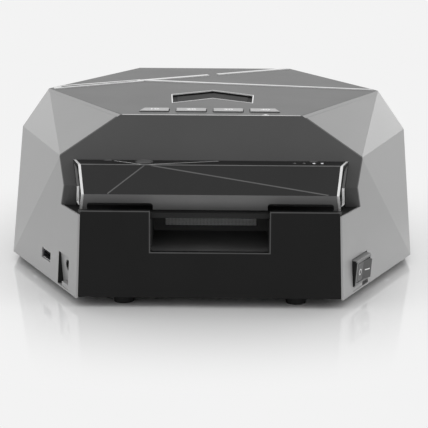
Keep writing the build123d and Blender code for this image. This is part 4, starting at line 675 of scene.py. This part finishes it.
# woven wire screen in a moulded rim at the back of the drawer's pocket; the wires are
# drawn coarser than real ones, so that they show
def finishPocketMesh():
    values = {"pitch": 0.8, "wire": 0.6, "rim": 0.5, "edge": 0.15}
    low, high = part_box("pocket_mesh")
    middle = [(a + b) / 2 for a, b in zip(low, high)]
    width, height = high[0] - low[0], high[2] - low[2]
    deselectAll()
    bpy.ops.mesh.primitive_grid_add(x_subdivisions=round(width / (values["pitch"] * mm)),
                                    y_subdivisions=round(height / (values["pitch"] * mm)),
                                    size=1, location=middle, rotation=(math.pi / 2, 0, 0))
    screen = bpy.context.object
    screen.name = "pocket_screen"
    screen.scale = (width - values["rim"] * mm, height - values["rim"] * mm, 1)
    bpy.ops.object.transform_apply(location=True, rotation=True, scale=True)
    wires = screen.modifiers.new("wires", "WIREFRAME")
    wires.thickness = values["wire"] * mm
    wires.use_even_offset = False
    wires.use_boundary = True
    bpy.ops.object.modifier_apply(modifier=wires.name)
    closeSkin(screen)
    screen.data.materials.append(finish["wire"])
    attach(screen, nodeBody["pocket_mesh"])
    bpy.ops.mesh.primitive_cube_add(size=1, location=middle)
    rim = bpy.context.object
    rim.name = "pocket_screen_rim"
    rim.scale = (width, high[1] - low[1], height)
    bpy.ops.object.transform_apply(location=True, rotation=True, scale=True)
    bpy.ops.object.mode_set(mode="EDIT")
    selectWhere(rim, faceTest=lambda face: abs(face.normal.y) > squareOn)
    bpy.ops.mesh.inset(thickness=values["rim"] * mm)
    bpy.ops.mesh.bridge_edge_loops()
    bpy.ops.object.mode_set(mode="OBJECT")
    # the rim takes the pocket's pale paint: painted light
    rim.data.materials.append(finish["pocket"])
    roundEdges(rim, values["edge"])
    standFor(rim, "pocket_mesh")


# flat areas of a node that face a direction, largest first: (middle, normal) of each
def flatsFacing(nodeName, direction):
    found = {}
    for face in nodes[nodeName].data.polygons:
        key = tuple(round(part, 2) for part in face.normal)
        area, middle, normal = found.get(key, (0.0, Vector(), face.normal.copy()))
        found[key] = (area + face.area, middle + face.center * face.area, normal)
    facing = sorted((flat for flat in found.values() if flat[2].dot(direction) > squareOn),
                    key=lambda flat: -flat[0])
    return [(middle / area, normal) for area, middle, normal in facing]


# power rocker with rounded edges, a printed ring on one half and a bar on the other
def finishRocker():
    values = {"edge": 0.35, "faces": (1, -0.5, 0), "ring": 1.75, "sides": 32, "line": 0.45,
              "bar": (4.2, 0.63), "print": 0.04}
    piece = mergedCopy("rocker")
    roundEdges(piece, values["edge"])
    standFor(piece, "rocker")
    halves = flatsFacing("rocker", Vector(values["faces"]).normalized())[:2]
    halves.sort(key=lambda half: half[0].x)
    (ringMiddle, ringNormal), (barMiddle, barNormal) = halves
    along = (barMiddle - ringMiddle).normalized()
    deselectAll()
    bpy.ops.mesh.primitive_circle_add(vertices=values["sides"], radius=values["ring"] * mm,
                                      fill_type="NGON")
    ring = bpy.context.object
    ring.name = "rocker_ring_mark"
    bpy.ops.object.mode_set(mode="EDIT")
    bpy.ops.mesh.inset(thickness=values["line"] * mm)
    bpy.ops.mesh.delete(type="FACE")
    bpy.ops.mesh.select_all(action="SELECT")
    bpy.ops.mesh.extrude_region_move(
        TRANSFORM_OT_translate={"value": (0, 0, values["print"] * mm)})
    bpy.ops.mesh.select_all(action="SELECT")
    bpy.ops.mesh.normals_make_consistent(inside=False)
    bpy.ops.object.mode_set(mode="OBJECT")
    layOn(ring, "print", ringMiddle, along, ringNormal)
    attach(ring, "power_rocker")
    bar = raisedPlate("rocker_bar_mark", *values["bar"], values["print"])
    layOn(bar, "print", barMiddle, along, barNormal)
    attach(bar, "power_rocker")


# gilt contacts side by side on the tongue of the USB socket
def addContacts():
    values = {"count": 4, "width": 1.0, "length": 5.5, "proud": 0.06, "pitch": 2.3,
              "socketFaces": (-1, -0.51, 0)}
    middle, normal = flatsFacing("usb_tongue", Vector((0, 0, 1)))[0]
    across = normal.cross(Vector(values["socketFaces"]).normalized()).normalized()
    for index in range(values["count"]):
        contact = raisedPlate(f"usb_contact_{index + 1}", values["width"], values["length"],
                              values["proud"])
        shift = across * (index - (values["count"] - 1) / 2) * values["pitch"] * mm
        layOn(contact, "gold", middle + shift, across, normal)
        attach(contact, "chassis")


# sorts the faces of a merged copy into its separate solids, smallest first
def solidsOf(piece):
    mesh = bmesh.new()
    mesh.from_mesh(piece.data)
    mesh.faces.ensure_lookup_table()
    left, groups = set(range(len(mesh.faces))), []
    while left:
        group, front = set(), [left.pop()]
        while front:
            index = front.pop()
            group.add(index)
            for edge in mesh.faces[index].edges:
                for face in edge.link_faces:
                    if face.index in left:
                        left.discard(face.index)
                        front.append(face.index)
        groups.append(group)
    mesh.free()
    return sorted(groups, key=len)


# power inlet: black body, bright centre pin
def finishInlet():
    values = {"edge": 0.15}
    piece = mergedCopy("dc_jack")
    pin = solidsOf(piece)[0]
    piece.data.materials.append(finish["steel"])
    slot = len(piece.data.materials) - 1
    for index in pin:
        piece.data.polygons[index].material_index = slot
    roundEdges(piece, values["edge"])
    standFor(piece, "dc_jack")


print("housing, top plate and front")
finishMouldings()
finishHousing()
finishCover()
finishTrim()
finishEndFrames()
finishInlay()
finishBezel()
finishFascia()
print("hood, keys and window")
finishHood()
finishButton()
finishLamps()
finishKeys()
printArrow()
finishChevron()
print("pocket, rocker and sockets")
finishPocketMesh()
finishRocker()
addContacts()
finishInlet()


# pale floor: lit, shadowed and mirroring near the object, an even backdrop further out
def addFloor():
    values = {"size": 8.0, "colour": "#EEEEEE", "rough": 0.07, "ior": 1.8,
              "mirror": (1.0, 0.1), "mirrorFade": (0.17, 0.27),
              "backdrop": "#F3F3F3", "fade": (0.133, 0.255)}
    deselectAll()
    bpy.ops.mesh.primitive_plane_add(size=values["size"], location=(0, 0, 0))
    floor = bpy.context.object
    floor.name = "floor"
    material, tree, shader = newMaterial("pale laminate table", {
        "Base Color": hexColour(values["colour"]), "IOR": values["ior"],
        "Roughness": values["rough"]})
    place = addNode(tree, "ShaderNodeTexCoord")
    reach = addNode(tree, "ShaderNodeVectorMath", {"operation": "LENGTH"},
                    links={0: place.outputs["Object"]})
    mirror = addNode(tree, "ShaderNodeMapRange", {"interpolation_type": "SMOOTHSTEP"},
                     {"From Min": values["mirrorFade"][0], "From Max": values["mirrorFade"][1],
                      "To Min": values["mirror"][0], "To Max": values["mirror"][1]},
                     {"Value": reach.outputs["Value"]})
    tree.links.new(mirror.outputs["Result"], shader.inputs["Specular IOR Level"])
    fade = addNode(tree, "ShaderNodeMapRange", {"interpolation_type": "SMOOTHSTEP"},
                   {"From Min": values["fade"][0], "From Max": values["fade"][1]},
                   {"Value": reach.outputs["Value"]})
    seen = addNode(tree, "ShaderNodeLightPath")
    glossy = addNode(tree, "ShaderNodeMath", {"operation": "MAXIMUM"},
                     links={0: seen.outputs["Is Camera Ray"], 1: seen.outputs["Is Glossy Ray"]})
    direct = addNode(tree, "ShaderNodeMath", {"operation": "MAXIMUM"},
                     links={0: glossy.outputs[0], 1: seen.outputs["Is Transmission Ray"]})
    share = addNode(tree, "ShaderNodeMath", {"operation": "MULTIPLY"},
                    links={0: direct.outputs[0], 1: fade.outputs["Result"]})
    backdrop = addNode(tree, "ShaderNodeEmission",
                       inputs={"Color": hexColour(values["backdrop"])})
    mix = addNode(tree, "ShaderNodeMixShader",
                  links={0: share.outputs[0], 1: shader.outputs[0], 2: backdrop.outputs[0]})
    output = next(node for node in tree.nodes if node.type == "OUTPUT_MATERIAL")
    tree.links.new(mix.outputs[0], output.inputs["Surface"])
    floor.data.materials.append(material)


# sizes and places in metres, power in watts
softboxes = {
    "top softbox": {
        "size": (1.4, 1.0), "power": 3.0, "at": (0, 0.15, 1.4), "to": (0, 0, 0)},
    "left softbox": {
        "size": (0.9, 0.9), "power": 1.5, "at": (-1.1, -0.35, 0.8), "to": (0, 0, 0.05)},
    "right softbox": {
        "size": (0.9, 0.9), "power": 2.0, "at": (1.1, -0.35, 0.8), "to": (0, 0, 0.05)},
    "left rim card": {
        "size": (1.0, 0.4), "power": 1.2, "at": (-1.25, 1.35, 0.45), "to": (0, 0, 0.07)},
    "right rim card": {
        "size": (1.0, 0.4), "power": 2.1, "at": (1.25, 1.35, 0.45), "to": (0, 0, 0.07)},
}


def addSoftbox(name, values):
    light = bpy.data.lights.new(name, "AREA")
    light.shape = "RECTANGLE"
    light.size, light.size_y = values["size"]
    light.energy = values["power"]
    lamp = bpy.data.objects.new(name, light)
    lamp.location = values["at"]
    aim = Vector(values["to"]) - Vector(values["at"])
    lamp.rotation_euler = aim.to_track_quat("-Z", "Y").to_euler()
    bpy.context.scene.collection.objects.link(lamp)


# even light from all round; the camera sees the backdrop's colour instead
def addRoom():
    values = {"light": "#F3F3F3", "strength": 0.95, "backdrop": "#F3F3F3"}
    world = bpy.data.worlds.new("studio")
    bpy.context.scene.world = world
    world.use_nodes = True
    tree = world.node_tree
    tree.nodes.clear()
    room = addNode(tree, "ShaderNodeBackground", inputs={
        "Color": hexColour(values["light"]), "Strength": values["strength"]})
    backdrop = addNode(tree, "ShaderNodeBackground",
                       inputs={"Color": hexColour(values["backdrop"])})
    seen = addNode(tree, "ShaderNodeLightPath")
    mix = addNode(tree, "ShaderNodeMixShader", links={
        0: seen.outputs["Is Camera Ray"], 1: room.outputs[0], 2: backdrop.outputs[0]})
    addNode(tree, "ShaderNodeOutputWorld", links={"Surface": mix.outputs[0]})


# place in metres, turns in degrees; pitch is how far the camera looks down
def addCamera():
    values = {"lens": 122.8, "sensor": 36.0, "sight": 20.0, "at": (0.0101, -0.8788, 0.2428),
              "pitch": 14.23, "yaw": 0.6035, "roll": 0.32}
    camera = bpy.data.cameras.new("camera")
    camera.lens = values["lens"]
    camera.sensor_width = values["sensor"]
    camera.clip_end = values["sight"]
    holder = bpy.data.objects.new("camera", camera)
    holder.location = values["at"]
    pitch, yaw, roll = (math.radians(values[name]) for name in ("pitch", "yaw", "roll"))
    turn = Euler((math.pi / 2 - pitch, 0, yaw)).to_matrix() @ Euler((0, 0, roll)).to_matrix()
    holder.rotation_euler = turn.to_euler()
    bpy.context.scene.collection.objects.link(holder)
    bpy.context.scene.camera = holder


print("stage")
addFloor()
for name, values in softboxes.items():
    addSoftbox(name, values)
addRoom()
addCamera()
bpy.context.scene.view_settings.view_transform = "Standard"
